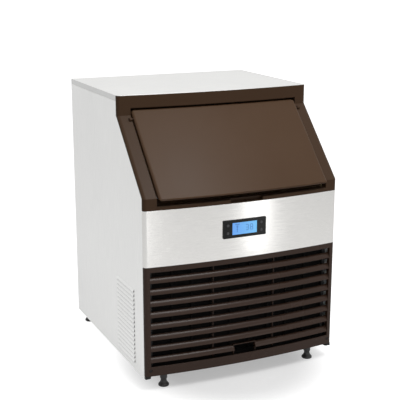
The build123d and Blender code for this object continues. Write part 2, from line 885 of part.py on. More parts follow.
def evaporator_grid():
    """Plated cell block in which the cubes freeze, open to the front."""
    y = grid_y()
    high = grid_low + grid_rows * grid_cell + grid_web
    grid = block(-grid_half, grid_half, y, y + grid_depth + grid_plate, grid_low, high)
    w = grid_cell - grid_web
    for column in range(grid_columns):
        for row in range(grid_rows):
            x = (column - (grid_columns - 1) / 2) * grid_cell
            z = grid_low + grid_web / 2 + (row + 0.5) * grid_cell
            grid -= block(x - w / 2, x + w / 2, y - 1, y + grid_depth, z - w / 2, z + w / 2)
    return grid


def evaporator_coil():
    """Copper serpentine soldered to the back of the grid."""
    y = grid_y() + grid_depth + grid_plate + coil_radius
    step = (grid_rows * grid_cell - 4 * coil_radius) / (coil_passes - 1)
    side = grid_half - 12
    points = []
    for i in range(coil_passes):
        z = grid_low + 2 * coil_radius + i * step
        ends = (-side, side) if i % 2 == 0 else (side, -side)
        points += [(ends[0], y, z), (ends[1], y, z)]
    return tube(points, coil_radius, step / 2 - 0.5)


def evaporator_bracket():
    """Pair of hangers that carry the grid, the curtain and the trough."""
    y0, y1 = grid_y() - bracket_ahead, grid_y() + bracket_behind + grid_depth
    low = grid_low - trough_drop - trough_height
    pin_y, pin_z = curtain_pin()
    hangers = []
    for side in (-1, 1):
        x0, x1 = sorted((side * grid_half, side * (grid_half + bracket_sheet)))
        hanger = block(x0, x1, y0, y1, low - bracket_sheet, bin_ceiling())
        x0, x1 = sorted((side * (grid_half - bracket_foot), side * (grid_half + bracket_sheet)))
        hanger += block(x0, x1, y0, y1, low - bracket_sheet, low)
        hanger -= bar_x(pin_y, pin_z, curtain_pin_radius + pin_play, x0 - 1, x1 + 1)
        hangers.append(hanger)
    return Compound(hangers)


def curtain_pin():
    """(y, z) of the axis that the water curtain swings on."""
    return (grid_y() - curtain_ahead, grid_low + grid_rows * grid_cell - 2)


def water_curtain():
    """White flap hung in front of the grid, with a lip at its foot and a pin at each end."""
    y, z = curtain_pin()
    half = grid_half - curtain_side_gap
    t = curtain_sheet / 2
    flap = block(-half, half, y - t, y + t, grid_low, z + 5)
    flap += side_prism([(y - t, grid_low), (y + t, grid_low), (y - 8, grid_low - 5), (y - 10, grid_low - 3)],
                       -half, half)
    for side in (-1, 1):
        x0, x1 = sorted((side * (half - 14), side * (grid_half + bracket_sheet)))
        flap += bar_x(y, z, curtain_pin_radius, x0, x1)
        x0, x1 = sorted((side * (half - 14), side * half))
        flap += bar_x(y, z, curtain_pin_radius + 2.5, x0, x1)
    for x in (-half / 2, 0, half / 2):
        flap += block(x - 1.5, x + 1.5, y - t - 4, y - t + 0.1, grid_low + 4, z - 8)
    return flap


def distributor_place():
    """(y, z) of the middle of the water distributor."""
    return (grid_y() + distributor_radius,
            grid_low + grid_rows * grid_cell + grid_web + distributor_radius + touch)


def water_distributor():
    """Perforated tube that lets the water run down the cells."""
    y, z = distributor_place()
    pipe = bar_x(y, z, distributor_radius, -grid_half, grid_half)
    pipe -= bar_x(y, z, distributor_radius - 2, -grid_half + 2, grid_half - 2)
    for column in range(grid_columns):
        x = (column - (grid_columns - 1) / 2) * grid_cell
        pipe -= bar_z(x, y, distributor_hole, z - distributor_radius - 1, z)
    return pipe


def trough_box():
    """y0, y1, z0, z1 of the water trough."""
    y0 = grid_y() - bracket_ahead + 1
    high = grid_low - trough_drop
    return y0, y0 + trough_width, high - trough_height, high


def water_trough():
    """Open tray under the grid that holds the water being frozen."""
    y0, y1, z0, z1 = trough_box()
    half = grid_half - touch
    t = trough_wall
    tray = block(-half, half, y0, y1, z0, z1)
    tray -= block(-half + t, half - t, y0 + t, y1 - t, z0 + t, z1 + 1)
    return tray


def pump_y():
    """y of the pump's axis, near the trough's front wall."""
    return trough_box()[0] + trough_wall + pump_radius + 2


def water_pump():
    """Small upright pump standing in the trough."""
    y = pump_y()
    z0, z1 = trough_box()[2:]
    base = z0 + trough_wall
    pump = bar_z(pump_x, y, pump_radius, base, base + 24)
    pump += bar_z(pump_x, y, pump_motor_radius, base + 24, z1 - 2)
    pump += bar_y(pump_x, base + 12, hose_radius + 1, y + pump_radius - 2, y + pump_radius + 4)
    return pump


def supply_hose():
    """Riser from the pump to the distributor, behind the grid."""
    start_y = pump_y() + pump_radius + 4
    y, z = distributor_place()
    rise_y = start_y + hose_reach
    low = trough_box()[2] + trough_wall + 12
    points = [(pump_x, start_y, low), (pump_x, rise_y, low), (pump_x, rise_y, z),
              (pump_x, y + distributor_radius, z)]
    return tube(points, hose_radius, 6.0)


def float_stem():
    """Guide rod of the level float, on the floor of the trough."""
    y0, y1, z0, z1 = trough_box()
    y = (y0 + y1) / 2
    base = z0 + trough_wall
    rod = bar_z(float_x, y, float_stem_radius, base, base + 2 + float_height + float_travel + 2)
    return rod + bar_z(float_x, y, float_stem_radius + 3, base, base + 2)


def level_float():
    """Ring float that rises on its rod as the trough fills."""
    y0, y1, z0, z1 = trough_box()
    y = (y0 + y1) / 2
    base = z0 + trough_wall + 2 + touch
    ring = bar_z(float_x, y, float_radius, base, base + float_height)
    return ring - bar_z(float_x, y, float_stem_radius + float_play, base - 1, base + float_height + 1)


def bin_probe():
    """Feeler on the right wall that stops the machine when the bin is full."""
    x = half_width - side_foam - bin_wall
    y, z = 0.55 * side_depth, grid_low - 30
    probe = bar_y(x - 10, z, 4, y - 60, y + 60)
    for dy in (-40, 40):
        probe += block(x - 10, x, y + dy - 5, y + dy + 5, z - 5, z + 5)
    return probe


def air_filter():
    """Flat filter in its frame behind the grille."""
    half = half_width - stile_width - 14
    y0 = filter_y
    z0, z1 = pan_z + pan_sheet + cross_height, band_z - 20
    frame = block(-half, half, y0, y0 + filter_depth, z0, z1)
    step = 2 * half / filter_bars
    for i in range(filter_bars):
        x0 = -half + i * step + 3
        frame -= block(x0, x0 + step - 6, y0 - 1, y0 + filter_depth - 1.2, z0 + 8, z1 - 8)
    return frame


def condenser_core():
    """Finned block with its end plates, standing on the pan."""
    w, d = condenser_width / 2, condenser_depth
    z0, z1 = condenser_low, condenser_low + condenser_height
    core = block(condenser_x - w, condenser_x + w, condenser_y, condenser_y + d, z0, z1)
    pitch = (2 * w - 10) / fin_count
    for i in range(fin_count):
        x = condenser_x - w + 5 + (i + 0.5) * pitch
        core -= block(x - fin_slot / 2, x + fin_slot / 2, condenser_y - 1,
                      condenser_y + fin_slot_depth, z0 + 4, z1 - 4)
    for side in (-1, 1):
        x = condenser_x + side * (w - 2)
        core += block(x - 2, x + 2, condenser_y, condenser_y + d, pan_z + pan_sheet, z0 + 1)
    return core


def condenser_bends():
    """Copper return bends at both ends of the finned block."""
    w = condenser_width / 2
    step = (condenser_height - 40) / (2 * return_bends - 1)
    bends = []
    for side in (-1, 1):
        for i in range(return_bends - (1 if side > 0 else 0)):
            z = condenser_low + 20 + (2 * i + (1 if side > 0 else 0)) * step
            x = condenser_x + side * w
            y = condenser_y + condenser_depth / 2
            points = [(x, y, z), (x + side * step, y, z), (x + side * step, y, z + step), (x, y, z + step)]
            bends.append(tube(points, bend_tube, step / 2 - 0.3))
    return Compound(bends)


def fan_axis_z():
    """Height of the fan's axis."""
    return condenser_low + condenser_height / 2


def fan_shroud():
    """Duct from the finned block to the ring round the fan."""
    w, h = condenser_width / 2, condenser_height / 2
    y0 = condenser_y + condenser_depth
    y1 = y0 + shroud_depth
    z = fan_axis_z()
    t = shroud_wall
    duct = block(condenser_x - w, condenser_x + w, y0, y1, z - h, z + h)
    duct -= block(condenser_x - w + t, condenser_x + w - t, y0 - 1, y1 - t, z - h + t, z + h - t)
    ring = fan_radius + fan_tip_gap
    duct += bar_y(condenser_x, z, ring + t, y1 - t, y1 + fan_depth)
    return duct - bar_y(condenser_x, z, ring, y1 - 2 * t, y1 + fan_depth + 1)


def fan_front():
    """y of the front of the fan's hub."""
    return condenser_y + condenser_depth + shroud_depth


def fan_blades():
    """Five-bladed axial fan with its hub."""
    z, y0 = fan_axis_z(), fan_front()
    hub = bar_y(0, 0, hub_radius, 0, fan_depth)
    reach = fan_radius - hub_radius / 2
    ring = bar_y(0, 0, fan_radius, -fan_depth, 2 * fan_depth) - bar_y(0, 0, hub_radius - 1, -far, far)
    wheel = hub
    for i in range(fan_blade_count):
        paddle = Pos(0, 0, hub_radius / 2 + reach / 2) * Rot(0, 0, fan_pitch) * Box(56, fan_blade_sheet, reach)
        blade = Pos(0, fan_depth / 2, 0) * Rot(0, i * 360 / fan_blade_count, 0) * paddle
        wheel += blade & ring
    wheel &= bar_y(0, 0, fan_radius, 0, fan_depth)
    wheel -= bar_y(0, 0, shaft_radius, -1, fan_depth + 1)
    return Pos(condenser_x, y0, z) * wheel


def fan_shaft():
    """Shaft from the motor to the hub."""
    y0 = fan_front()
    return bar_y(condenser_x, fan_axis_z(), shaft_radius, y0 + 1, y0 + fan_depth + 34)


def motor_front():
    """y of the front of the fan motor."""
    return fan_front() + fan_depth + 6


def fan_motor():
    """Shaded-pole motor with a bore for the shaft."""
    y0, z = motor_front(), fan_axis_z()
    motor = bar_y(condenser_x, z, motor_radius, y0 + 4, y0 + motor_length)
    motor = fillet(motor.edges().group_by(Axis.Y)[-1], 4)
    motor += bar_y(condenser_x, z, motor_radius - 12, y0, y0 + 5)
    return motor - bar_y(condenser_x, z, shaft_radius + shaft_play, y0 - 1, y0 + 30)


def fan_stand():
    """Folded strap that holds the motor up from the pan."""
    y0, z = motor_front() + motor_length, fan_axis_z()
    floor = pan_z + pan_sheet
    strap = block(condenser_x - 26, condenser_x + 26, y0, y0 + 3, floor, z + 30)
    return strap + block(condenser_x - 26, condenser_x + 26, y0, y0 + 45, floor, floor + 3)


def compressor_mounts():
    """Four rubber bushes under the compressor."""
    floor = pan_z + pan_sheet
    bushes = [bar_z(compressor_x + sx * 78, compressor_y + sy * 58, 12, floor, floor + compressor_lift)
              for sx in (-1, 1) for sy in (-1, 1)]
    return Compound(bushes)


def compressor():
    """Sealed can with its foot plate and terminal cover."""
    base = pan_z + pan_sheet + compressor_lift
    plate = block(compressor_x - 95, compressor_x + 95, compressor_y - 75, compressor_y + 75,
                  base, base + 3)
    can = bar_z(compressor_x, compressor_y, compressor_radius, base + 3, base + compressor_height)
    can = fillet(can.edges().group_by(Axis.Z)[-1], 0.55 * compressor_radius)
    weld = bar_z(compressor_x, compressor_y, compressor_radius + 3, base + 90, base + 94)
    cover = block(compressor_x - 30, compressor_x + 30, compressor_y - compressor_radius - 22,
                  compressor_y - compressor_radius + 12, base + 40, base + 84)
    return plate + can + weld + cover


def control_box():
    """Steel box for the mains parts, on the pan beside the finned block."""
    floor = pan_z + pan_sheet
    x0, x1 = condenser_x + condenser_width / 2 + 45, 285.0
    box = block(x0, x1, 62, 150, floor, floor + 210)
    return fillet(box.edges().filter_by(Axis.Z), 4)


def filter_drier():
    """Copper drier with tapered ends, lying on the left of the pan."""
    outline = [(0, -60), (4, -60), (4, -48), (12, -36), (12, 36), (4, 48), (4, 60), (0, 60)]
    drier = revolve(Plane.XZ * make_face(Polyline(*outline, close=True)), Axis.Z)
    return Pos(-240, 330, 180) * Rot(90, 0, 0) * drier


def liquid_pipe():
    """Pipe from the finned block to the drier."""
    y = condenser_y + condenser_depth
    x = condenser_x - condenser_width / 2 + 12
    return tube([(-240, 270, 180), (-240, 225, 180), (-240, 225, 240), (-240, y + shroud_depth + 4, 240)],
                pipe_radius, 16)


def capillary():
    """Pipe from the drier up to the bin's deck."""
    return tube([(-240, 390, 180), (-240, 450, 180), (-240, 450, band_z)], pipe_radius, 20)


def suction_pipe():
    """Pipe from the deck down to the compressor."""
    base = pan_z + pan_sheet + compressor_lift
    top = base + compressor_height
    return tube([(compressor_x, compressor_y + 20, top), (compressor_x, compressor_y + 20, top + 50),
                 (compressor_x - 90, compressor_y + 60, top + 50),
                 (compressor_x - 90, compressor_y + 60, band_z)], 5.0, 18)


def hot_gas_valve():
    """Solenoid valve with its coil, hung from the deck."""
    x, y = 20.0, 520.0
    body = bar_z(x, y, 9, band_z - 110, band_z - 60)
    coil = block(x - 20, x + 20, y - 17, y + 17, band_z - 62, band_z - 22)
    coil = fillet(coil.edges().filter_by(Axis.Z), 5)
    return body + coil + block(x - 12, x + 12, y - 1.5, y + 1.5, band_z - 24, band_z + touch)


def discharge_pipe():
    """Pipe from the compressor to the finned block, past the hot gas valve."""
    base = pan_z + pan_sheet + compressor_lift + 60
    x = compressor_x - compressor_radius
    return tube([(x, compressor_y, base), (20, compressor_y, base), (20, 300, base + 60),
                 (20, fan_front() + 34, base + 60)], pipe_radius, 24)


def water_inlet_valve():
    """Solenoid valve with its threaded connection through the back panel."""
    y1 = side_depth + rear_proud
    valve = bar_y(inlet_x, inlet_z, inlet_radius - 0.8, side_depth - 40, side_depth + stub_neck)
    valve += bar_y(inlet_x, inlet_z, inlet_radius, side_depth + stub_neck, y1)
    valve -= bar_y(inlet_x, inlet_z, inlet_radius - 4, side_depth - 20, y1 + 1)
    valve += bar_y(inlet_x, inlet_z, inlet_radius + 5, side_depth - sheet - 8, side_depth - sheet)
    coil = block(inlet_x - 18, inlet_x + 18, side_depth - 62, side_depth - 30, inlet_z + 10, inlet_z + 50)
    base = block(inlet_x - 15, inlet_x + 15, side_depth - 56, side_depth - 36, inlet_z - 15, inlet_z + 12)
    return valve + fillet(coil.edges().filter_by(Axis.Z), 4) + base


def drain_outlet():
    """Drain stub from the bin's floor, through the back panel."""
    y1 = side_depth + rear_proud - 4
    back = side_depth - 60
    top = band_z + touch
    stub = bar_y(drain_x, drain_z, drain_radius - 0.5, back - drain_radius, side_depth + stub_neck)
    stub += bar_y(drain_x, drain_z, drain_radius, side_depth + stub_neck, y1)
    stub += bar_z(drain_x, back, drain_radius, drain_z - drain_radius, top)
    stub += bar_y(drain_x, drain_z, drain_radius + 5, side_depth - sheet - 4, side_depth - sheet)
    return stub - bar_y(drain_x, drain_z, drain_bore, back, y1 + 1)


def power_gland():
    """Gland in the back panel for the mains lead."""
    y = side_depth
    gland = bar_y(gland_x, gland_z, gland_radius - 2, y - 12, y)
    gland += bar_y(gland_x, gland_z, gland_radius + 2, y - sheet - 4, y - sheet)
    nut = Plane.XZ.offset(-y) * Pos(gland_x, gland_z) * RegularPolygon(gland_radius + 2, 6)
    gland += extrude(nut, -6)
    gland += bar_y(gland_x, gland_z, gland_radius - 1, y + 6, y + gland_proud)
    return gland - bar_y(gland_x, gland_z, gland_bore, y - 20, y + gland_proud + 1)


def build():
    """All the nodes by name."""
    feet = foot_places()
    buttons = button_places()
    return {
        "side_panel_left": side_panel(-1),
        "side_panel_right": side_panel(1),
        "back_panel": back_panel(),
        "top_panel": top_panel(),
        "base_rail_left": base_rail(-1),
        "base_rail_right": base_rail(1),
        "base_pan": base_pan(),
        "crossmember_front": crossmember(front_foot_y, front_foot_x),
        "crossmember_back": crossmember(side_depth - back_foot_inset, back_foot_x),
        "foot_front_left": foot(*feet[0]),
        "foot_front_right": foot(*feet[1]),
        "foot_back_left": foot(*feet[2]),
        "foot_back_right": foot(*feet[3]),
        "upper_frame": upper_frame(),
        "door_shell": door_shell(),
        "door_liner": door_liner(),
        "door_gasket": door_gasket(),
        "door_hinge_pins": hinge_pins(),
        "control_band": control_band(),
        "display_bezel": display_bezel(),
        "display_window": display_window(),
        "display_board": display_board(),
        "button_left_upper": push_button(*buttons[0]),
        "button_left_lower": push_button(*buttons[1]),
        "button_right_upper": push_button(*buttons[2]),
        "button_right_lower": push_button(*buttons[3]),
        "lower_grille": lower_grille(),
        "grille_screws": grille_screws(),
        "back_screws": back_screws(),
        "machine_deck": machine_deck(),
        "insulation": insulation(),
        "bin_liner": bin_liner(),
        "evaporator_grid": evaporator_grid(),
        "evaporator_coil": evaporator_coil(),
        "evaporator_brackets": evaporator_bracket(),
        "water_curtain": water_curtain(),
        "water_distributor": water_distributor(),
        "water_trough": water_trough(),
        "water_pump": water_pump(),
        "supply_hose": supply_hose(),
        "float_stem": float_stem(),
        "level_float": level_float(),
        "bin_probe": bin_probe(),
        "air_filter": air_filter(),
        "condenser_core": condenser_core(),
        "condenser_bends": condenser_bends(),
        "fan_shroud": fan_shroud(),
        "fan_blades": fan_blades(),
        "fan_shaft": fan_shaft(),
        "fan_motor": fan_motor(),
        "fan_stand": fan_stand(),
        "compressor": compressor(),
        "compressor_mounts": compressor_mounts(),
        "control_box": control_box(),
        "filter_drier": filter_drier(),
        "refrigerant_pipes": Compound([liquid_pipe(), capillary(), suction_pipe(), discharge_pipe()]),
        "hot_gas_valve": hot_gas_valve(),
        "water_inlet_valve": water_inlet_valve(),
        "drain_outlet": drain_outlet(),
        "power_gland": power_gland(),
    }


os.makedirs("parts", exist_ok=True)
nodes = build()
front = min(shape.bounding_box().min.Y for shape in nodes.values())
rear = max(shape.bounding_box().max.Y for shape in nodes.values())
middle = (front + rear) / 2
for name, shape in nodes.items():
    export_step(Pos(0, -middle, 0) * shape, f"parts/{name}.step")
print("footprint middle", round(middle, 4))
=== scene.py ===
"""Ice cube machine: finishes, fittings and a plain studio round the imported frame."""

import json
import logging
import math
from dataclasses import dataclass
from enum import Enum
from functools import cached_property
from typing import Any, Iterable, Optional, Sequence

import bmesh
import bpy
from mathutils import Matrix, Vector


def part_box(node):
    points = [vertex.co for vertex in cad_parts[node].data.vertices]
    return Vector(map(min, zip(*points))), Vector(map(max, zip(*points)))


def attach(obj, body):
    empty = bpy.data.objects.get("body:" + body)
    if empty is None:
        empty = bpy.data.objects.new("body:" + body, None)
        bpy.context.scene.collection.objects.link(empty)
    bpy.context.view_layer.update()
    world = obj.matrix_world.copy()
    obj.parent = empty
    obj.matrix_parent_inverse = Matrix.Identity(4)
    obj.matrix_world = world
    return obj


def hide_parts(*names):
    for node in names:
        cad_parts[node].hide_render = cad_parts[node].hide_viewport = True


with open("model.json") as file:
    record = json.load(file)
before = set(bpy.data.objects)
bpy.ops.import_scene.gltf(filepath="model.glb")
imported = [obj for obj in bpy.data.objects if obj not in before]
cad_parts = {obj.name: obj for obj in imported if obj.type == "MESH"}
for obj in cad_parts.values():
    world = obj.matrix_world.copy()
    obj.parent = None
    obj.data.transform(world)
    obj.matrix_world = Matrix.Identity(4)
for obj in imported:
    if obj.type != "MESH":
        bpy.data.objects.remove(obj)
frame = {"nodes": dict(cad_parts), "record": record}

LOG = logging.getLogger("ice_machine")
MM = 0.001
WELD = 1e-6
SAME_PLANE = 0.1 * MM
BUMP_DISTANCE = 0.0005
WHITE = (1.0, 1.0, 1.0, 1.0)
FLOAT, VECTOR, COLOR = "NodeSocketFloat", "NodeSocketVector", "NodeSocketColor"
SHADER = "Principled BSDF"
Rgb = tuple[float, float, float]
Point = tuple[float, float, float]
Socket = bpy.types.NodeSocket


def tone(red: int, green: int, blue: int) -> Rgb:
    """Linear colour of a tone given on the usual 0 to 255 scale.

    Args:
        red, green, blue: the tone's three parts.

    Returns:
        The same colour in linear light.
    """
    def part(value: int) -> float:
        """Linear value of one part."""
        v = value / 255.0
        return v / 12.92 if v <= 0.04045 else ((v + 0.055) / 1.055) ** 2.4
    return part(red), part(green), part(blue)


class Nodes:
    """Short ways to add nodes to one shader tree."""

    def __init__(self, tree: bpy.types.NodeTree) -> None:
        """Takes the tree.

        Args:
            tree: the tree that grows.
        """
        self.tree = tree

    def plug(self, socket: Socket, value: Any) -> None:
        """Links a socket to another, or sets its value.

        Args:
            socket: the input.
            value: an output, or a plain value.
        """
        if isinstance(value, Socket):
            self.tree.links.new(value, socket)
        else:
            socket.default_value = value

    def node(self, kind: str, inputs: Optional[dict] = None, **settings: Any) -> bpy.types.Node:
        """Adds a node.

        Args:
            kind: its type, without ShaderNode in front.
            inputs: the value or output for each input, by its name or number.
            settings: the node's own settings.

        Returns:
            The new node.
        """
        made = self.tree.nodes.new(f"ShaderNode{kind}")
        for name, value in settings.items():
            setattr(made, name, value)
        for key, value in (inputs or {}).items():
            self.plug(made.inputs[key], value)
        return made

    def calculate(self, operation: str, *values: Any, clamp: bool = False) -> Socket:
        """Adds a sum.

        Args:
            operation: the kind of sum.
            values: its values or outputs, in order.
            clamp: whether the result stays between 0 and 1.

        Returns:
            The result's output.
        """
        made = self.node("Math", dict(enumerate(values)), operation=operation, use_clamp=clamp)
        return made.outputs[0]

    def spread(self, value: Socket, ends: Sequence[float], **settings: Any) -> Socket:
        """Maps one range to another.

        Args:
            value: the output that is mapped.
            ends: from low, from high, to low and to high.
            settings: the node's own settings.

        Returns:
            The mapped output.
        """
        names = ("From Min", "From Max", "To Min", "To Max")
        made = self.node("MapRange", {"Value": value, **dict(zip(names, ends))}, **settings)
        return made.outputs["Result"]

    def mix_values(self, share: float, first: Socket, second: Socket) -> Socket:
        """Mixes two values.

        Args:
            share: the second's share.
            first, second: the two outputs.

        Returns:
            The mixed output.
        """
        return self.node("Mix", {"Factor": share, 2: first, 3: second}, data_type="FLOAT").outputs[0]

    def mix_colors(self, share: Socket, first: Any, second: Any) -> Socket:
        """Mixes two colours.

        Args:
            share: the second's share.
            first, second: the two colours or outputs.

        Returns:
            The mixed output.
        """
        return self.node("Mix", {"Factor": share, 6: first, 7: second}, data_type="RGBA").outputs[2]

    def scaled(self, color: Socket, share: Socket) -> Socket:
        """Darkens or lightens a colour.

        Args:
            color: the colour's output.
            share: what it is multiplied by.

        Returns:
            The scaled output.
        """
        return self.node("VectorMath", {0: color, "Scale": share}, operation="SCALE").outputs[0]

    def noise(self, place: Socket, scale: Any, detail: float) -> Socket:
        """Adds a cloudy pattern.

        Args:
            place: where it is read.
            scale: how fine it is.
            detail: how many finer layers it has.

        Returns:
            The pattern's output.
        """
        return self.node("TexNoise", {"Vector": place, "Scale": scale, "Detail": detail}).outputs["Fac"]

    def object_place(self) -> Socket:
        """Adds the object's own coordinates.

        Returns:
            Their output.
        """
        return self.node("TexCoord").outputs["Object"]


def open_group(name: str, inputs: Iterable[tuple], outputs: Iterable[tuple]) -> tuple[Nodes, Any, Any]:
    """Opens a new node group.

    Args:
        name: the group's name.
        inputs: (socket name, socket type, default) of each input.
        outputs: (socket name, socket type) of each output.

    Returns:
        Its nodes, the sockets that come in and the sockets that go out.
    """
    tree = bpy.data.node_groups.new(name, "ShaderNodeTree")
    for socket, kind, default in inputs:
        made = tree.interface.new_socket(socket, in_out="INPUT", socket_type=kind)
        if default is not None:
            made.default_value = default
    for socket, kind in outputs:
        tree.interface.new_socket(socket, in_out="OUTPUT", socket_type=kind)
    enter, leave = tree.nodes.new("NodeGroupInput"), tree.nodes.new("NodeGroupOutput")
    return Nodes(tree), enter.outputs, leave.inputs


class Effects:
    """The shader groups that several finishes share, each built once."""

    @cached_property
    def brushed(self) -> bpy.types.NodeTree:
        """Fine parallel brush lines with a few longer ones, as Height, Shade and Roughness."""
        nodes, enter, leave = open_group(
            "brushed_lines",
            [("Vector", VECTOR, None), ("Stretch", VECTOR, (1.0, 1.0, 1.0)), ("Scale", FLOAT, 1.0)],
            [("Height", FLOAT), ("Shade", FLOAT), ("Roughness", FLOAT)])
        drawn = nodes.node("VectorMath", {0: enter["Vector"], 1: enter["Stretch"]},
                           operation="MULTIPLY").outputs[0]
        broad_scale = nodes.calculate("MULTIPLY", enter["Scale"], 0.35)
        fine = nodes.noise(drawn, enter["Scale"], 3.0)
        broad = nodes.noise(drawn, broad_scale, 2.0)
        lines = nodes.mix_values(0.35, fine, broad)
        nodes.plug(leave["Height"], lines)
        nodes.plug(leave["Shade"], nodes.spread(lines, (0.3, 0.7, 0.93, 1.05)))
        nodes.plug(leave["Roughness"], nodes.spread(broad, (0.3, 0.7, -0.05, 0.06)))
        return nodes.tree

    @cached_property
    def pebbled(self) -> bpy.types.NodeTree:
        """Close, shallow texture of a moulded or cast surface, as Height and Shade."""
        nodes, enter, leave = open_group(
            "pebbled", [("Vector", VECTOR, None), ("Scale", FLOAT, 1.0)],
            [("Height", FLOAT), ("Shade", FLOAT)])
        cells = nodes.node("TexVoronoi", {"Vector": enter["Vector"], "Scale": enter["Scale"]},
                           feature="SMOOTH_F1").outputs["Distance"]
        cloud = nodes.noise(enter["Vector"], enter["Scale"], 4.0)
        pebbles = nodes.mix_values(0.4, cells, cloud)
        nodes.plug(leave["Height"], pebbles)
        nodes.plug(leave["Shade"], nodes.spread(pebbles, (0.1, 0.7, 0.94, 1.06)))
        return nodes.tree

    @cached_property
    def spangled(self) -> bpy.types.NodeTree:
        """Frost-like crystals of zinc coating, as Height, Shade and Roughness."""
        nodes, enter, leave = open_group(
            "spangled", [("Vector", VECTOR, None), ("Scale", FLOAT, 1.0)],
            [("Height", FLOAT), ("Shade", FLOAT), ("Roughness", FLOAT)])
        cells = nodes.node("TexVoronoi", {"Vector": enter["Vector"], "Scale": enter["Scale"]})
        chance = nodes.node("SeparateColor", {0: cells.outputs["Color"]}).outputs
        nodes.plug(leave["Shade"], nodes.spread(chance[0], (0.0, 1.0, 0.86, 1.1)))
        nodes.plug(leave["Roughness"], nodes.spread(chance[1], (0.0, 1.0, -0.08, 0.1)))
        nodes.plug(leave["Height"], chance[2])
        return nodes.tree

    @cached_property
    def handled(self) -> bpy.types.NodeTree:
        """Slow change of a Color over a surface, with dust where it faces up, and of its Roughness."""
        nodes, enter, leave = open_group(
            "handled",
            [("Vector", VECTOR, None), ("Color", COLOR, (0.5, 0.5, 0.5, 1.0)), ("Shade", FLOAT, 1.0),
             ("Change", FLOAT, 0.05), ("Dust", FLOAT, 0.0)],
            [("Color", COLOR), ("Roughness", FLOAT)])
        cloud = nodes.noise(enter["Vector"], 5.0, 5.0)
        centred = nodes.calculate("SUBTRACT", cloud, 0.5)
        change = nodes.calculate("MULTIPLY_ADD", centred, enter["Change"], enter["Shade"])
        shaded = nodes.scaled(enter["Color"], change)
        facing = nodes.node("NewGeometry").outputs["Normal"]
        upward = nodes.node("SeparateXYZ", {0: facing}).outputs["Z"]
        settled = nodes.calculate("MULTIPLY", upward, enter["Dust"], clamp=True)
        patchy = nodes.calculate("MULTIPLY", settled, cloud)
        nodes.plug(leave["Color"], nodes.mix_colors(patchy, shaded, (*tone(196, 192, 184), 1.0)))
        nodes.plug(leave["Roughness"], nodes.calculate("MULTIPLY_ADD", centred, 0.16, patchy))
        return nodes.tree

    @cached_property
    def rounded(self) -> bpy.types.NodeTree:
        """Softened edges, as a Normal and an Edge mask of where they are."""
        nodes, enter, leave = open_group(
            "rounded_edges", [("Radius", FLOAT, 0.001)], [("Normal", VECTOR), ("Edge", FLOAT)])
        soft = nodes.node("Bevel", {"Radius": enter["Radius"]}, samples=4).outputs["Normal"]
        hard = nodes.node("NewGeometry").outputs["Normal"]
        close = nodes.node("VectorMath", {0: soft, 1: hard}, operation="DOT_PRODUCT").outputs["Value"]
        nodes.plug(leave["Normal"], soft)
        nodes.plug(leave["Edge"], nodes.spread(close, (0.99, 0.8, 0.0, 1.0)))
        return nodes.tree

    @cached_property
    def painted_crevice_shade(self) -> bpy.types.NodeTree:
        """Painted shade: darkens a Color by ambient occlusion in folds and slots within a Reach, such as
        under the louvre hoods.
        """
        nodes, enter, leave = open_group(
            "painted_crevice_shade", [("Color", COLOR, (0.5, 0.5, 0.5, 1.0)), ("Reach", FLOAT, 0.01)],
            [("Color", COLOR)])
        sky = nodes.node("AmbientOcclusion", {"Distance": enter["Reach"]}, samples=8, only_local=True)
        share = nodes.spread(sky.outputs["AO"], (0.6, 0.97, 0.2, 1.0))
        nodes.plug(leave["Color"], nodes.scaled(enter["Color"], share))
        return nodes.tree


class Grain(Enum):
    """What the surface of a finish is like close up."""

    PLAIN = "plain"
    BRUSHED_ACROSS = "brushed_across"
    BRUSHED_UP = "brushed_up"
    MOULDED = "moulded"
    SPANGLE = "spangle"
    CAST = "cast"


STRETCHES = {Grain.BRUSHED_ACROSS: (0.02, 1.0, 1.0), Grain.BRUSHED_UP: (1.0, 1.0, 0.02)}


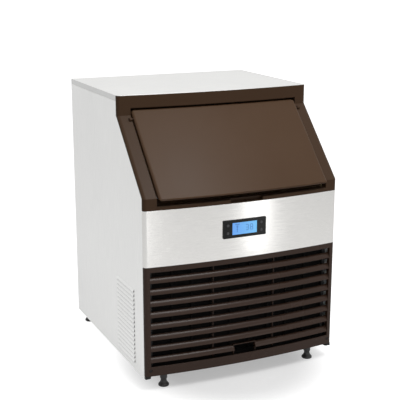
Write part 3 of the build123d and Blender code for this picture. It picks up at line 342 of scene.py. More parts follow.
@dataclass(frozen=True)
class Finish:
    """A material's look, from its tone to its texture close up."""

    name: str
    color: Rgb
    roughness: float
    metallic: float = 0.0
    grain: Grain = Grain.PLAIN
    scale: float = 400.0
    depth: float = 0.1
    change: float = 0.08
    dust: float = 0.0
    edge_radius: float = 0.0
    coat: float = 0.0
    specular: float = 0.5
    emission: Optional[Rgb] = None
    emission_strength: float = 0.0
    subsurface: float = 0.0
    even_normals: bool = False
    # painted shade: reach of the ambient occlusion that darkens the colour in folds
    painted_shade_reach: float = 0.0

    def set_plain(self, shader: bpy.types.Node) -> None:
        """Sets the values that are the same all over.

        Args:
            shader: the material's shader.
        """
        values = {"Metallic": self.metallic, "Specular IOR Level": self.specular,
                  "Coat Weight": self.coat, "Coat Roughness": 0.12}
        if self.subsurface:
            values.update({"Subsurface Weight": self.subsurface, "Subsurface Scale": 4 * MM})
        if self.emission:
            values.update({"Emission Color": (*self.emission, 1.0),
                           "Emission Strength": self.emission_strength})
        for name, value in values.items():
            shader.inputs[name].default_value = value

    def grained(self, nodes: Nodes, effects: Effects, handled: bpy.types.Node, place: Socket,
                rough: Socket) -> tuple[Optional[Socket], Socket]:
        """Adds the texture close up.

        Args:
            nodes: the material's nodes.
            effects: the shared shader groups.
            handled: the group that takes the texture's shade.
            place: the object's coordinates.
            rough: the roughness so far.

        Returns:
            The height, None where the surface is flat, and the roughness.
        """
        if self.grain is Grain.PLAIN:
            return None, rough
        inputs = {"Vector": place, "Scale": self.scale}
        if self.grain in STRETCHES:
            tree = effects.brushed
            inputs["Stretch"] = STRETCHES[self.grain]
        else:
            tree = effects.spangled if self.grain is Grain.SPANGLE else effects.pebbled
        texture = nodes.node("Group", inputs, node_tree=tree).outputs
        nodes.plug(handled.inputs["Shade"], texture["Shade"])
        if "Roughness" in texture:
            rough = nodes.calculate("ADD", rough, texture["Roughness"], clamp=True)
        return (None if self.grain is Grain.SPANGLE else texture["Height"]), rough

    def material(self, effects: Effects) -> bpy.types.Material:
        """Builds the material.

        Args:
            effects: the shared shader groups.

        Returns:
            The new material.
        """
        made = bpy.data.materials.new(self.name)
        made.use_nodes = True
        nodes = Nodes(made.node_tree)
        shader = made.node_tree.nodes[SHADER]
        self.set_plain(shader)
        place = nodes.object_place()
        handled = nodes.node("Group", {"Vector": place, "Color": (*self.color, 1.0),
                                       "Change": self.change, "Dust": self.dust},
                             node_tree=effects.handled)
        rough = nodes.calculate("ADD", handled.outputs["Roughness"], self.roughness, clamp=True)
        height, rough = self.grained(nodes, effects, handled, place, rough)
        nodes.plug(shader.inputs["Roughness"], rough)
        color, normal = handled.outputs["Color"], None
        if self.edge_radius:
            soft = nodes.node("Group", {"Radius": self.edge_radius}, node_tree=effects.rounded)
            normal = soft.outputs["Normal"]
        # painted shade: the colour is darkened in folds and under louvre hoods
        if self.painted_shade_reach:
            painted_fold_shade = nodes.node("Group", {"Reach": self.painted_shade_reach, "Color": color},
                                node_tree=effects.painted_crevice_shade)
            color = painted_fold_shade.outputs["Color"]
        nodes.plug(shader.inputs["Base Color"], color)
        if height is not None:
            bump = nodes.node("Bump", {"Strength": self.depth, "Distance": BUMP_DISTANCE,
                                       "Height": height})
            if normal is not None:
                nodes.plug(bump.inputs["Normal"], normal)
            normal = bump.outputs["Normal"]
        if normal is not None:
            nodes.plug(shader.inputs["Normal"], normal)
        return made


@dataclass(frozen=True)
class LitFinish(Finish):
    """A lit surface whose glow changes along X."""

    far_color: Rgb = (1.0, 1.0, 1.0)
    from_x: float = 0.0
    to_x: float = 1.0

    def material(self, effects: Effects) -> bpy.types.Material:
        """Builds the material and spreads its glow.

        Args:
            effects: the shared shader groups.

        Returns:
            The new material.
        """
        made = super().material(effects)
        nodes = Nodes(made.node_tree)
        along = nodes.node("SeparateXYZ", {0: nodes.object_place()}).outputs["X"]
        across = nodes.spread(along, (self.from_x, self.to_x, 0.0, 1.0))
        glow = nodes.mix_colors(across, (*self.emission, 1.0), (*self.far_color, 1.0))
        nodes.plug(made.node_tree.nodes[SHADER].inputs["Emission Color"], glow)
        return made


# The side steel carries painted shade in its folds and under its louvre hoods, within a 12 mm reach.
SIDE_STEEL = Finish("satin_side_steel", (0.88, 0.88, 0.87), 0.42, 1.0, Grain.BRUSHED_UP, 900.0, 0.06,
                    0.03, edge_radius=0.0006, painted_shade_reach=0.012)
TOP_STEEL = Finish("satin_top_steel", (0.71, 0.71, 0.70), 0.40, 1.0, Grain.BRUSHED_ACROSS, 900.0, 0.06,
                   0.03, 0.1, 0.0008)
BAND_STEEL = Finish("brushed_band_steel", (0.74, 0.73, 0.71), 0.2, 1.0, Grain.BRUSHED_ACROSS, 1100.0,
                    0.08, 0.03, edge_radius=0.0006)
ZINC_STEEL = Finish("zinc_coated_steel", (0.52, 0.54, 0.55), 0.46, 0.9, Grain.SPANGLE, 260.0, 0.1,
                    0.04, 0.1)
RAIL_BLACK = Finish("black_painted_rail", tone(24, 23, 22), 0.5, specular=0.25, grain=Grain.MOULDED,
                    scale=700.0, depth=0.15, edge_radius=0.0008)
FOOT_BLACK = Finish("black_nylon_foot", tone(27, 26, 26), 0.42, grain=Grain.MOULDED, scale=900.0,
                    depth=0.15, dust=0.1, edge_radius=0.0012)
FRAME_BROWN = Finish("brown_moulded_frame", tone(69, 50, 35), 0.36, specular=0.1,
                     grain=Grain.MOULDED, scale=1400.0, depth=0.12, dust=0.02, edge_radius=0.0025)
DOOR_BROWN = Finish("brown_moulded_door", tone(80, 58, 40), 0.34, specular=0.12,
                    grain=Grain.MOULDED, scale=1200.0, depth=0.16, dust=0.02, even_normals=True)
GRILLE_BROWN = Finish("brown_moulded_grille", tone(54, 36, 26), 0.26, specular=0.22,
                      grain=Grain.MOULDED, scale=1400.0, depth=0.1, dust=0.02, edge_radius=0.0012)
WHITE_PLASTIC = Finish("white_food_plastic", tone(232, 234, 235), 0.28, grain=Grain.MOULDED,
                       scale=500.0, depth=0.05, change=0.03, edge_radius=0.001, subsurface=0.1)
BLACK_RUBBER = Finish("black_rubber", tone(34, 33, 33), 0.75, grain=Grain.CAST, scale=900.0, depth=0.2)
BRIGHT_STEEL = Finish("bright_steel", (0.62, 0.62, 0.62), 0.25, 1.0, Grain.CAST, 900.0, 0.04)
BEZEL_BLACK = Finish("gloss_black_bezel", tone(10, 10, 12), 0.22, specular=0.2, grain=Grain.MOULDED,
                     scale=1800.0, depth=0.04, coat=0.03, edge_radius=0.0008)
SCREEN = LitFinish("backlit_screen", tone(60, 130, 200), 0.2, emission=tone(104, 158, 232),
                   emission_strength=0.62, coat=0.3, change=0.0, far_color=tone(112, 196, 236),
                   from_x=-0.05, to_x=0.034)
SEGMENT = Finish("dark_screen_segment", tone(20, 60, 130), 0.2, emission=tone(62, 128, 206),
                 emission_strength=0.4, change=0.0)
BOARD_GREEN = Finish("green_board", tone(34, 92, 54), 0.4, grain=Grain.MOULDED, scale=500.0)
BUTTON_GREY = Finish("grey_button", tone(58, 58, 61), 0.5, grain=Grain.MOULDED, scale=1500.0,
                     edge_radius=0.0005)
FOAM = Finish("cream_foam", tone(226, 208, 160), 0.85, grain=Grain.CAST, scale=260.0, depth=0.5)
NICKEL = Finish("bright_nickel", (0.64, 0.61, 0.57), 0.22, 1.0, Grain.CAST, 500.0, 0.04)
COPPER = Finish("copper_pipe", (0.70, 0.32, 0.19), 0.3, 1.0, Grain.CAST, 300.0, 0.06, 0.25)
DARK_PLASTIC = Finish("dark_grey_plastic", tone(54, 54, 57), 0.45, grain=Grain.MOULDED, scale=900.0)
FILTER_BLACK = Finish("black_filter", tone(14, 12, 11), 0.8, specular=0.15, grain=Grain.MOULDED,
                      scale=700.0)
STRAND_BLACK = Finish("black_filter_strand", tone(20, 17, 15), 0.7, specular=0.15,
                      grain=Grain.MOULDED, scale=2000.0)
BROWN_STEEL = Finish("brown_painted_steel", tone(52, 37, 27), 0.5, specular=0.15,
                     grain=Grain.MOULDED, scale=1400.0, depth=0.1)
BLACKENED_STEEL = Finish("blackened_steel", tone(34, 29, 27), 0.4, 0.6, Grain.CAST, 900.0, 0.06)
FIN_ALUMINIUM = Finish("mill_aluminium", (0.62, 0.63, 0.65), 0.35, 1.0, Grain.BRUSHED_UP, 500.0, 0.1)
FAN_BLACK = Finish("black_machine_paint", tone(32, 32, 33), 0.38, grain=Grain.CAST, scale=420.0,
                   depth=0.12, dust=0.15)
BRASS = Finish("plain_brass", (0.62, 0.44, 0.18), 0.32, 1.0, Grain.CAST, 500.0, 0.06, 0.15)

SLOT_FINISHES = {
    "side_steel": SIDE_STEEL, "top_steel": TOP_STEEL, "band_steel": BAND_STEEL,
    "zinc_steel": ZINC_STEEL, "black_rail": RAIL_BLACK, "foot_black": FOOT_BLACK,
    "brown_plastic": FRAME_BROWN, "door_plastic": DOOR_BROWN, "grille_plastic": GRILLE_BROWN,
    "white_plastic": WHITE_PLASTIC, "black_rubber": BLACK_RUBBER, "pin_steel": BRIGHT_STEEL,
    "bezel_black": BEZEL_BLACK, "screen": SCREEN, "board_green": BOARD_GREEN,
    "button_grey": BUTTON_GREY, "foam": FOAM, "bright_nickel": NICKEL, "copper": COPPER,
    "pump_plastic": DARK_PLASTIC, "filter_mesh": FILTER_BLACK, "fin_aluminium": FIN_ALUMINIUM,
    "fan_black": FAN_BLACK, "valve_brass": BRASS,
}
# base_pan and crossmember_front take the black rail finish in place of zinc as painted shade, so that
# the grille's gaps read dark; the screws and hinge pins take their own finishes.
NODE_FINISHES_AND_PAINTED_SHADE = {"grille_screws": BLACKENED_STEEL, "door_hinge_pins": BROWN_STEEL,
                 "crossmember_front": RAIL_BLACK, "base_pan": RAIL_BLACK}


def add_box(mesh: bmesh.types.BMesh, low: Point, high: Point) -> None:
    """Adds a box between two corners.

    Args:
        mesh: the mesh that it goes into.
        low: the lowest corner.
        high: the highest corner.
    """
    low, high = Vector(low), Vector(high)
    verts = bmesh.ops.create_cube(mesh, size=1.0)["verts"]
    bmesh.ops.scale(mesh, vec=high - low, verts=verts)
    bmesh.ops.translate(mesh, vec=(low + high) / 2, verts=verts)


def add_prism(mesh: bmesh.types.BMesh, outline: Iterable[Point], along: Point) -> None:
    """Adds a prism.

    Args:
        mesh: the mesh that it goes into.
        outline: the corners of its first end, in order.
        along: the way from the first end to the other.
    """
    face = mesh.faces.new([mesh.verts.new(corner) for corner in outline])
    grown = bmesh.ops.extrude_face_region(mesh, geom=[face])["geom"]
    moved = [item for item in grown if isinstance(item, bmesh.types.BMVert)]
    bmesh.ops.translate(mesh, vec=along, verts=moved)


def spun(profile: Iterable[tuple[float, float]], steps: int, turns: float = 1.0,
         rise: float = 0.0) -> bmesh.types.BMesh:
    """Spins a profile about Z.

    Args:
        profile: its (radius, along) points.
        steps: steps of a whole turn.
        turns: turns made.
        rise: how far one turn rises.

    Returns:
        The welded surface, open at its ends.
    """
    fresh = bmesh.new()
    start = [fresh.verts.new((radius, 0.0, along)) for radius, along in profile]
    edges = [fresh.edges.new(pair) for pair in zip(start, start[1:])]
    bmesh.ops.spin(fresh, geom=start + edges, cent=(0.0, 0.0, 0.0), axis=(0.0, 0.0, 1.0),
                   dvec=(0.0, 0.0, rise / steps), angle=2 * math.pi * turns,
                   steps=int(steps * turns), use_merge=turns == 1.0)
    bmesh.ops.remove_doubles(fresh, verts=fresh.verts, dist=WELD)
    return fresh


def lay(mesh: bmesh.types.BMesh, fresh: bmesh.types.BMesh, place: Point, axis: Point) -> None:
    """Turns a shape from +Z to an axis, sets it in its place, adds it and frees it.

    Args:
        mesh: the mesh that it goes into.
        fresh: the shape.
        place: where its origin goes.
        axis: the direction that its Z takes.
    """
    bmesh.ops.recalc_face_normals(fresh, faces=fresh.faces)
    turn = Vector((0.0, 0.0, 1.0)).rotation_difference(Vector(axis)).to_matrix().to_4x4()
    bmesh.ops.transform(fresh, matrix=Matrix.Translation(Vector(place)) @ turn, verts=fresh.verts)
    carried = bpy.data.meshes.new("carried")
    fresh.to_mesh(carried)
    fresh.free()
    mesh.from_mesh(carried)
    bpy.data.meshes.remove(carried)


class Workshop:
    """Makes pieces, gives them their finish and sets them on the frame."""

    def __init__(self) -> None:
        """Starts with no material built."""
        self.effects = Effects()
        self.materials: dict[str, bpy.types.Material] = {}

    def material(self, finish: Finish) -> bpy.types.Material:
        """The material of a finish, built once.

        Args:
            finish: the look wanted.

        Returns:
            Its material.
        """
        if finish.name not in self.materials:
            self.materials[finish.name] = finish.material(self.effects)
        return self.materials[finish.name]

    def dress(self, node: str, finish: Finish) -> None:
        """Gives a solid of the frame its finish.

        Args:
            node: the solid's name.
            finish: the look wanted.
        """
        solid = frame["nodes"][node]
        if not solid.material_slots:
            solid.data.materials.append(self.material(finish))
        for slot in solid.material_slots:
            slot.material = self.material(finish)
        if finish.even_normals:
            even = solid.modifiers.new("even_normals", "WEIGHTED_NORMAL")
            even.keep_sharp = True
        LOG.info("dressed %s as %s", node, finish.name)

    def piece(self, name: str, mesh: bmesh.types.BMesh, finish: Finish, body: str,
              smooth: float = 35.0) -> bpy.types.Object:
        """Makes an object from a mesh in its place.

        Args:
            name: the piece's name.
            mesh: its shape, in the frame's metres; it is freed here.
            finish: the look wanted.
            body: the body that it rides on.
            smooth: edges that turn less than this many degrees are smooth.

        Returns:
            The new object.
        """
        data = bpy.data.meshes.new(name)
        mesh.to_mesh(data)
        mesh.free()
        for polygon in data.polygons:
            polygon.use_smooth = True
        data.set_sharp_from_angle(angle=math.radians(smooth))
        made = bpy.data.objects.new(name, data)
        bpy.context.scene.collection.objects.link(made)
        data.materials.append(self.material(finish))
        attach(made, body)
        LOG.info("made %s, %d faces", name, len(data.polygons))
        return made


@dataclass
class Cabinet:
    """Every solid of the frame, in the finish of its slot."""

    record: dict

    def dress(self, shop: Workshop) -> None:
        """Finishes each solid.

        Args:
            shop: the workshop.
        """
        for part in self.record["subparts"]:
            node = part["node"]
            shop.dress(node, NODE_FINISHES_AND_PAINTED_SHADE.get(node, SLOT_FINISHES[part["material_slot"]]))


@dataclass
class Fastenings:
    """Cross-recess screws in place of the plain ones of the frame.

    The shares are parts of the head's radius. The crown holds the (radius share, share of the
    head's height below its top) of the points of the head's rounded edge.
    """

    steps: int = 24
    head_share: float = 0.48
    shank_share: float = 0.48
    recess_share: float = 0.52
    arm_share: float = 0.15
    bed_share: float = 0.7
    recess_depth: float = 0.9 * MM
    crown: tuple[tuple[float, float], ...] = ((1.0, 0.4), (0.9, 0.12), (0.72, 0.0))

    def islands(self, node: str) -> list[tuple[Vector, Vector]]:
        """The boxes of a node's separate solids.

        Args:
            node: the node's name.

        Returns:
            The lowest and highest corner of each.
        """
        mesh = bmesh.new()
        mesh.from_mesh(frame["nodes"][node].data)
        bmesh.ops.remove_doubles(mesh, verts=mesh.verts, dist=WELD)
        left, boxes = set(mesh.verts), []
        while left:
            group, edge = set(), [left.pop()]
            while edge:
                vert = edge.pop()
                group.add(vert)
                near = {other for link in vert.link_edges for other in link.verts} & left
                left -= near
                edge.extend(near)
            boxes.append((Vector(min(v.co[i] for v in group) for i in range(3)),
                          Vector(max(v.co[i] for v in group) for i in range(3))))
        mesh.free()
        return boxes

    def recess(self, fresh: bmesh.types.BMesh, radius: float, top: float) -> None:
        """Closes the open top of a head with a cross recess.

        Args:
            fresh: the screw, open at its top.
            radius: the head's radius.
            top: the height of the open top.
        """
        rim = [edge for edge in fresh.edges if edge.is_boundary]
        arm, reach = self.arm_share * radius, self.recess_share * radius
        quarter = [(reach, -arm), (reach, arm), (arm, arm)]
        cross = [(x * c - y * s, x * s + y * c) for c, s in ((1, 0), (0, 1), (-1, 0), (0, -1))
                 for x, y in quarter]
        brim = [fresh.verts.new((x, y, top)) for x, y in cross]
        bed = [fresh.verts.new((self.bed_share * x, self.bed_share * y, top - self.recess_depth))
               for x, y in cross]
        ring = [fresh.edges.new(pair) for pair in zip(brim, brim[1:] + brim[:1])]
        bmesh.ops.triangle_fill(fresh, use_beauty=True, use_dissolve=False, edges=rim + ring)
        for index, vert in enumerate(brim):
            after = (index + 1) % len(brim)
            fresh.faces.new((vert, brim[after], bed[after], bed[index]))
        fresh.faces.new(bed)

    def screw(self, mesh: bmesh.types.BMesh, low: Vector, high: Vector, out: float) -> None:
        """Adds one screw in the box of a plain one.

        Args:
            mesh: the mesh that it goes into.
            low: the box's lowest corner.
            high: the box's highest corner.
            out: +1 or -1, the way along Y that its head faces.
        """
        radius = (high.x - low.x) / 2
        length = high.y - low.y
        head, shank = radius * self.head_share, radius * self.shank_share
        tip = ((low.x + high.x) / 2, low.y if out > 0 else high.y, (low.z + high.z) / 2)
        profile = [(0.0, 0.0), (shank, 0.0), (shank, length - head), (radius, length - head)]
        profile += [(share * radius, length - below * head) for share, below in self.crown]
        fresh = spun(profile, self.steps)
        self.recess(fresh, radius, length)
        lay(mesh, fresh, tip, (0.0, out, 0.0))

    def build(self, shop: Workshop) -> None:
        """Makes both groups of screws.

        Args:
            shop: the workshop.
        """
        for node, out, finish in (("grille_screws", -1.0, BLACKENED_STEEL),
                                  ("back_screws", 1.0, BRIGHT_STEEL)):
            mesh = bmesh.new()
            for low, high in self.islands(node):
                self.screw(mesh, low, high, out)
            made = shop.piece(f"cross_{node}", mesh, finish, "cabinet")
            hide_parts(node)


@dataclass
class Display:
    """The marks on the lit screen. The shares are parts of the screen's width."""

    proud: float = 0.15 * MM
    stroke: float = 1.7 * MM
    stroke_gap: float = 0.4
    digit: tuple[float, float] = (8.5 * MM, 17.0 * MM)
    lit: tuple[str, ...] = ("abcdg", "abcdefg")
    digit_share: float = 0.60
    digit_step: float = 0.18
    digit_lift: float = 1.0 * MM
    level_share: float = 0.2
    level_count: int = 4
    level_drop: float = 8.0 * MM
    level_pitch: float = 5.2 * MM
    level_half: float = 1.5 * MM
    level_growth: float = 0.5 * MM
    level_tall: float = 1.4 * MM
    cap_lift: float = 13.0 * MM
    cap_length: float = 16.0 * MM

    def mark(self, mesh: bmesh.types.BMesh, outline: Iterable[tuple[float, float]], face: float) -> None:
        """Adds one flat mark.

        Args:
            mesh: the mesh that it goes into.
            outline: its (x, z) corners in order.
            face: y of the screen's face.
        """
        corners_in_front = [(x, face - self.proud, z) for x, z in outline]
        add_prism(mesh, corners_in_front, (0.0, 2 * self.proud, 0.0))

    def bar(self, mesh: bmesh.types.BMesh, x: float, z: float, length: float, upright: bool,
            face: float) -> None:
        """Adds one segment with pointed ends.

        Args:
            mesh: the mesh that it goes into.
            x, z: its middle.
            length: its length.
            upright: whether it stands.
            face: y of the screen's face.
        """
        half, point = length / 2, self.stroke / 2
        outline = [(-half, 0.0), (-half + point, point), (half - point, point), (half, 0.0),
                   (half - point, -point), (-half + point, -point)]
        if upright:
            outline = [(b, a) for a, b in outline]
        self.mark(mesh, [(x + a, z + b) for a, b in outline], face)

    def number(self, mesh: bmesh.types.BMesh, x: float, z: float, lit: str, face: float) -> None:
        """Adds one seven-segment digit.

        Args:
            mesh: the mesh that it goes into.
            x, z: its middle.
            lit: the letters of its lit segments, a to g.
            face: y of the screen's face.
        """
        wide, tall = self.digit
        side, up = wide / 2, tall / 4
        places = {"a": (0.0, 2 * up, False), "g": (0.0, 0.0, False), "d": (0.0, -2 * up, False),
                  "b": (side, up, True), "c": (side, -up, True), "f": (-side, up, True),
                  "e": (-side, -up, True)}
        for letter in lit:
            dx, dz, stands = places[letter]
            length = (tall / 2 if stands else wide) - self.stroke_gap * self.stroke
            self.bar(mesh, x + dx, z + dz, length, stands, face)

    def build(self, shop: Workshop) -> None:
        """Makes the marks: two digits, a level bar and a few plain squares.

        Args:
            shop: the workshop.
        """
        low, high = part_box("display_window")
        face, middle = low[1], (low[2] + high[2]) / 2
        left, wide = low[0], high[0] - low[0]
        mesh = bmesh.new()
        for index, lit in enumerate(self.lit):
            x = left + wide * (self.digit_share + self.digit_step * index)
            self.number(mesh, x, middle + self.digit_lift, lit, face)
        level_x = left + self.level_share * wide
        for index in range(self.level_count):
            z = middle - self.level_drop + index * self.level_pitch
            half, tall = self.level_half + self.level_growth * index, self.level_tall
            self.mark(mesh, [(level_x + a * half, z + b * tall)
                             for a, b in ((-1, -1), (1, -1), (1, 1), (-1, 1))], face)
        self.bar(mesh, level_x, middle + self.cap_lift, self.cap_length, False, face)
        bmesh.ops.recalc_face_normals(mesh, faces=mesh.faces)
        shop.piece("screen_marks", mesh, SEGMENT, "cabinet")


@dataclass
class BinSill:
    """Brown cover over the edge of the foam, between the frame's lip and the ice bin."""

    lift: float = 0.2 * MM
    thick: float = 1.0 * MM
    chamfer: float = 1.0 * MM
    start: float = 9.0 * MM
    reach_up: float = 8.0 * MM
    reach_out: float = 1.0 * MM

    def front_edge(self, node: str) -> Vector:
        """Top of a solid's foremost face, in the middle plane.

        Args:
            node: the solid's name.

        Returns:
            The point.
        """
        points = [v.co for v in frame["nodes"][node].data.vertices]
        front = min(p.y for p in points)
        return Vector((0.0, front, max(p.z for p in points if p.y - front < SAME_PLANE)))

    def build(self, shop: Workshop) -> None:
        """Lays the cover on the foam's sloping edge.

        Args:
            shop: the workshop.
        """
        foot, rim = self.front_edge("insulation"), self.front_edge("bin_liner")
        up = (rim - foot).normalized()
        out = Vector((0.0, -up.z, up.y))
        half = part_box("bin_liner")[1][0] + self.reach_out
        low_edge, high_edge = foot + up * self.start, rim + up * self.reach_up
        near, far = self.lift, self.lift + self.thick
        outline = [low_edge + out * near, low_edge + out * far,
                   high_edge + out * far - up * self.chamfer, high_edge + out * near]
        mesh = bmesh.new()
        add_prism(mesh, [(-half, p.y, p.z) for p in outline], (2 * half, 0.0, 0.0))
        bmesh.ops.recalc_face_normals(mesh, faces=mesh.faces)
        shop.piece("bin_sill_cover", mesh, FRAME_BROWN, "cabinet")


@dataclass
class AirFilter:
    """The woven strands stretched over the filter's frame, and the foam strips at its ends."""

    pitch: float = 4.0 * MM
    thick: float = 0.45 * MM
    margin: float = 3.0 * MM
    seal_gap: float = 1.0 * MM
    seal_set_back: float = 1.0 * MM
    seal_deeper: float = 4.0 * MM
    seal_taller: float = 18.0 * MM

    def weave(self, shop: Workshop, low: Vector, high: Vector) -> None:
        """Weaves the strands.

        Args:
            shop: the workshop.
            low: the filter's lowest corner.
            high: its highest corner.
        """
        middle, half = (low[1] + high[1]) / 2, self.thick / 2
        mesh = bmesh.new()
        x0, x1 = low[0] + self.margin, high[0] - self.margin
        z0, z1 = low[2] + self.margin, high[2] - self.margin
        for step in range(int((x1 - x0) / self.pitch) + 1):
            x = x0 + step * self.pitch
            add_box(mesh, (x - half, middle - self.thick, z0), (x + half, middle, z1))
        for step in range(int((z1 - z0) / self.pitch) + 1):
            z = z0 + step * self.pitch
            add_box(mesh, (x0, middle, z - half), (x1, middle + self.thick, z + half))
        shop.piece("filter_weave", mesh, STRAND_BLACK, "cabinet", 20.0)

    def seal(self, shop: Workshop, low: Vector, high: Vector) -> None:
        """Closes the gap between the filter and each side panel.

        Args:
            shop: the workshop.
            low: the filter's lowest corner.
            high: its highest corner.
        """
        mesh = bmesh.new()
        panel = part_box("side_panel_right")[0][0]
        for side in (-1.0, 1.0):
            x0, x1 = sorted((side * high[0], side * (panel + self.seal_gap)))
            add_box(mesh, (x0, low[1] + self.seal_set_back, low[2]),
                    (x1, high[1] + self.seal_deeper, high[2] + self.seal_taller))
        shop.piece("filter_seal_strips", mesh, BLACK_RUBBER, "cabinet", 20.0)

    def build(self, shop: Workshop) -> None:
        """Makes both.

        Args:
            shop: the workshop.
        """
        low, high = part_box("air_filter")
        self.weave(shop, low, high)
        self.seal(shop, low, high)


@dataclass
class RearFittings:
    """Thread of the water inlet and barbs of the drain.

    The crest and foot shares are parts of the thread's pitch, the barb shares parts of the drain's
    length.
    """

    record: dict
    sunk: float = 0.2 * MM
    pitch: float = 1.8 * MM
    ridge: float = 0.9 * MM
    crest_share: float = 0.45
    foot_share: float = 0.9
    plain_turns: int = 3
    thread_steps: int = 32
    barb_count: int = 3
    barb_pitch_share: float = 0.22
    barb_length_share: float = 0.18
    barb_proud: float = 1.2 * MM
    barb_land: float = 0.5 * MM

    def mount(self, name: str) -> tuple[Vector, float, float]:
        """Middle, radius and length of a mount's pin.

        Args:
            name: the mount's name.

        Returns:
            The three values in metres.
        """
        found = next(m for m in self.record["mounts"] if m["name"] == name)
        return Vector(found["pos_m"]), found["dims"]["r_mm"] * MM, found["dims"]["length_mm"] * MM

    def turned(self, mesh: bmesh.types.BMesh, profile: Iterable[tuple[float, float]], place: Vector,
               turns: float = 1.0, rise: float = 0.0) -> None:
        """Adds a closed shape turned about Y.

        Args:
            mesh: the mesh that it goes into.
            profile: its (radius, along) points.
            place: the point at radius 0, along 0.
            turns: turns made.
            rise: how far one turn rises.
        """
        fresh = spun(profile, self.thread_steps, turns, rise)
        bmesh.ops.holes_fill(fresh, edges=fresh.edges, sides=0)
        lay(mesh, fresh, place, (0.0, 1.0, 0.0))

    def thread(self, shop: Workshop) -> None:
        """Cuts the inlet's thread.

        Args:
            shop: the workshop.
        """
        middle, radius, length = self.mount("water_inlet")
        inner = radius - self.sunk
        turns = math.floor((length - self.plain_turns * self.pitch) / self.pitch)
        start = length / 2 - (turns + self.plain_turns / 2) * self.pitch
        profile = [(inner, 0.0), (radius + self.ridge, self.crest_share * self.pitch),
                   (inner, self.foot_share * self.pitch), (inner, 0.0)]
        mesh = bmesh.new()
        self.turned(mesh, profile, middle + Vector((0.0, start, 0.0)), turns, self.pitch)
        shop.piece("inlet_thread", mesh, BRASS, "cabinet", 20.0)

    def barbs(self, shop: Workshop) -> None:
        """Sets the drain's barbs.

        Args:
            shop: the workshop.
        """
        middle, radius, length = self.mount("drain_stub")
        inner, outer = radius - self.sunk, radius + self.barb_proud
        profile = [(inner, 0.0), (outer, 0.0), (outer, self.barb_land),
                   (inner, self.barb_length_share * length), (inner, 0.0)]
        mesh = bmesh.new()
        for step in range(self.barb_count):
            along = length / 2 - (step + 1) * self.barb_pitch_share * length
            self.turned(mesh, profile, middle + Vector((0.0, along, 0.0)))
        shop.piece("drain_barbs", mesh, DARK_PLASTIC, "cabinet", 25.0)

    def build(self, shop: Workshop) -> None:
        """Makes both.

        Args:
            shop: the workshop.
        """
        self.thread(shop)
        self.barbs(shop)


@dataclass(frozen=True)
class Lamp:
    """One soft lamp that the camera doesn't see."""

    name: str
    place: Point
    aim: Point
    size: tuple[float, float]
    power: float

    def hang(self) -> None:
        """Hangs the lamp."""
        data = bpy.data.lights.new(self.name, "AREA")
        data.shape = "RECTANGLE"
        data.size, data.size_y = self.size
        data.energy = self.power
        lamp = bpy.data.objects.new(self.name, data)
        bpy.context.scene.collection.objects.link(lamp)
        lamp.location = self.place
        lamp.visible_camera = False
        lamp.rotation_euler = (Vector(self.aim) - Vector(self.place)).to_track_quat("-Z", "Y").to_euler()


LAMPS = (
    Lamp("overhead", (0.35, -1.45, 2.9), (0.0, -0.1, 0.5), (1.3, 1.1), 38.0),
    Lamp("top_fill", (0.2, 0.9, 2.8), (0.0, 0.1, 0.6), (1.8, 1.4), 4.0),
    Lamp("right_strip", (0.656, -1.447, 0.3), (0.05, -0.35, 0.3), (0.2, 0.56), 0.42),
    Lamp("left_strip", (-0.245, -1.58, 0.3), (-0.31, -0.33, 0.3), (0.08, 0.56), 0.3),
)


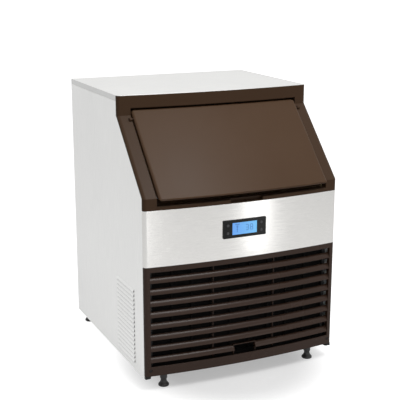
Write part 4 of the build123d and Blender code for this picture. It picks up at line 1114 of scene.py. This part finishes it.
@dataclass
class Studio:
    """White floor with a soft painted shadow round the feet, lamps and the camera.

    The painted shadow spread holds the two distances from its middle between which it fades, and the
    floor's glow at each.
    """

    camera_place: Point = (-1.2895, -2.8439, 1.2916)
    camera_tilt: float = 75.757
    camera_turn: float = -24.454
    lens: float = 85.67
    sensor: float = 36.0
    floor_half: float = 40.0
    floor_grey: float = 0.6
    floor_roughness: float = 0.9
    floor_specular: float = 0.1
    world_light: float = 0.36
    mirror_lift: float = 0.5
    painted_shadow_middle: Point = (0.0, -0.25, 0.0)
    painted_shadow_spread: tuple[float, float, float, float] = (0.19, 0.45, 0.4, 0.98)

    def floor_material(self) -> bpy.types.Material:
        """Builds the floor's material, which glows white away from the machine and dimmer near it, a
        painted shadow that only the camera sees.

        Returns:
            The new material.
        """
        made = bpy.data.materials.new("pale_floor")
        made.use_nodes = True
        nodes = Nodes(made.node_tree)
        shader = made.node_tree.nodes[SHADER].inputs
        path = nodes.node("LightPath").outputs
        away = nodes.node("VectorMath", {0: nodes.object_place(), 1: self.painted_shadow_middle},
                          operation="DISTANCE").outputs["Value"]
        # painted shadow: the camera-only glow fades down near the machine's base
        shade = nodes.spread(away, self.painted_shadow_spread, interpolation_type="SMOOTHSTEP")
        seen = nodes.calculate("MULTIPLY", path["Is Camera Ray"], shade)
        lift = nodes.calculate("MULTIPLY_ADD", path["Is Glossy Ray"], self.mirror_lift, seen)
        for name, value in (("Base Color", (*(self.floor_grey,) * 3, 1.0)),
                            ("Roughness", self.floor_roughness),
                            ("Specular IOR Level", self.floor_specular),
                            ("Emission Color", WHITE), ("Emission Strength", lift)):
            nodes.plug(shader[name], value)
        return made

    def floor(self) -> None:
        """Lays the floor."""
        mesh = bmesh.new()
        bmesh.ops.create_grid(mesh, x_segments=1, y_segments=1, size=self.floor_half)
        data = bpy.data.meshes.new("floor")
        mesh.to_mesh(data)
        mesh.free()
        floor = bpy.data.objects.new("floor", data)
        bpy.context.scene.collection.objects.link(floor)
        data.materials.append(self.floor_material())

    def world(self) -> None:
        """Lights everything evenly and shows white behind."""
        world = bpy.data.worlds.new("studio")
        bpy.context.scene.world = world
        world.use_nodes = True
        nodes = Nodes(world.node_tree)
        glow = world.node_tree.nodes["Background"].inputs
        path = nodes.node("LightPath").outputs
        seen = path["Is Camera Ray"]
        for other in ("Is Glossy Ray", "Is Transmission Ray"):
            seen = nodes.calculate("MAXIMUM", seen, path[other])
        nodes.plug(glow["Color"], WHITE)
        nodes.plug(glow["Strength"], nodes.spread(seen, (0.0, 1.0, self.world_light, 1.0)))

    def camera(self) -> None:
        """Sets the camera where the photograph was taken from."""
        data = bpy.data.cameras.new("camera")
        data.lens = self.lens
        data.sensor_width = self.sensor
        camera = bpy.data.objects.new("camera", data)
        bpy.context.scene.collection.objects.link(camera)
        camera.location = self.camera_place
        camera.rotation_euler = (math.radians(self.camera_tilt), 0.0, math.radians(self.camera_turn))
        bpy.context.scene.camera = camera

    def build(self) -> None:
        """Sets up the whole studio."""
        self.floor()
        self.world()
        for lamp in LAMPS:
            lamp.hang()
        self.camera()
        bpy.context.scene.view_settings.view_transform = "Standard"


def main() -> None:
    """Builds the pieces in order."""
    logging.basicConfig(level=logging.INFO, format="%(name)s: %(message)s")
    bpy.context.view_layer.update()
    shop = Workshop()
    Studio().build()
    Cabinet(frame["record"]).dress(shop)
    Fastenings().build(shop)
    Display().build(shop)
    BinSill().build(shop)
    AirFilter().build(shop)
    RearFittings(frame["record"]).build(shop)


if __name__ == "__main__":
    main()
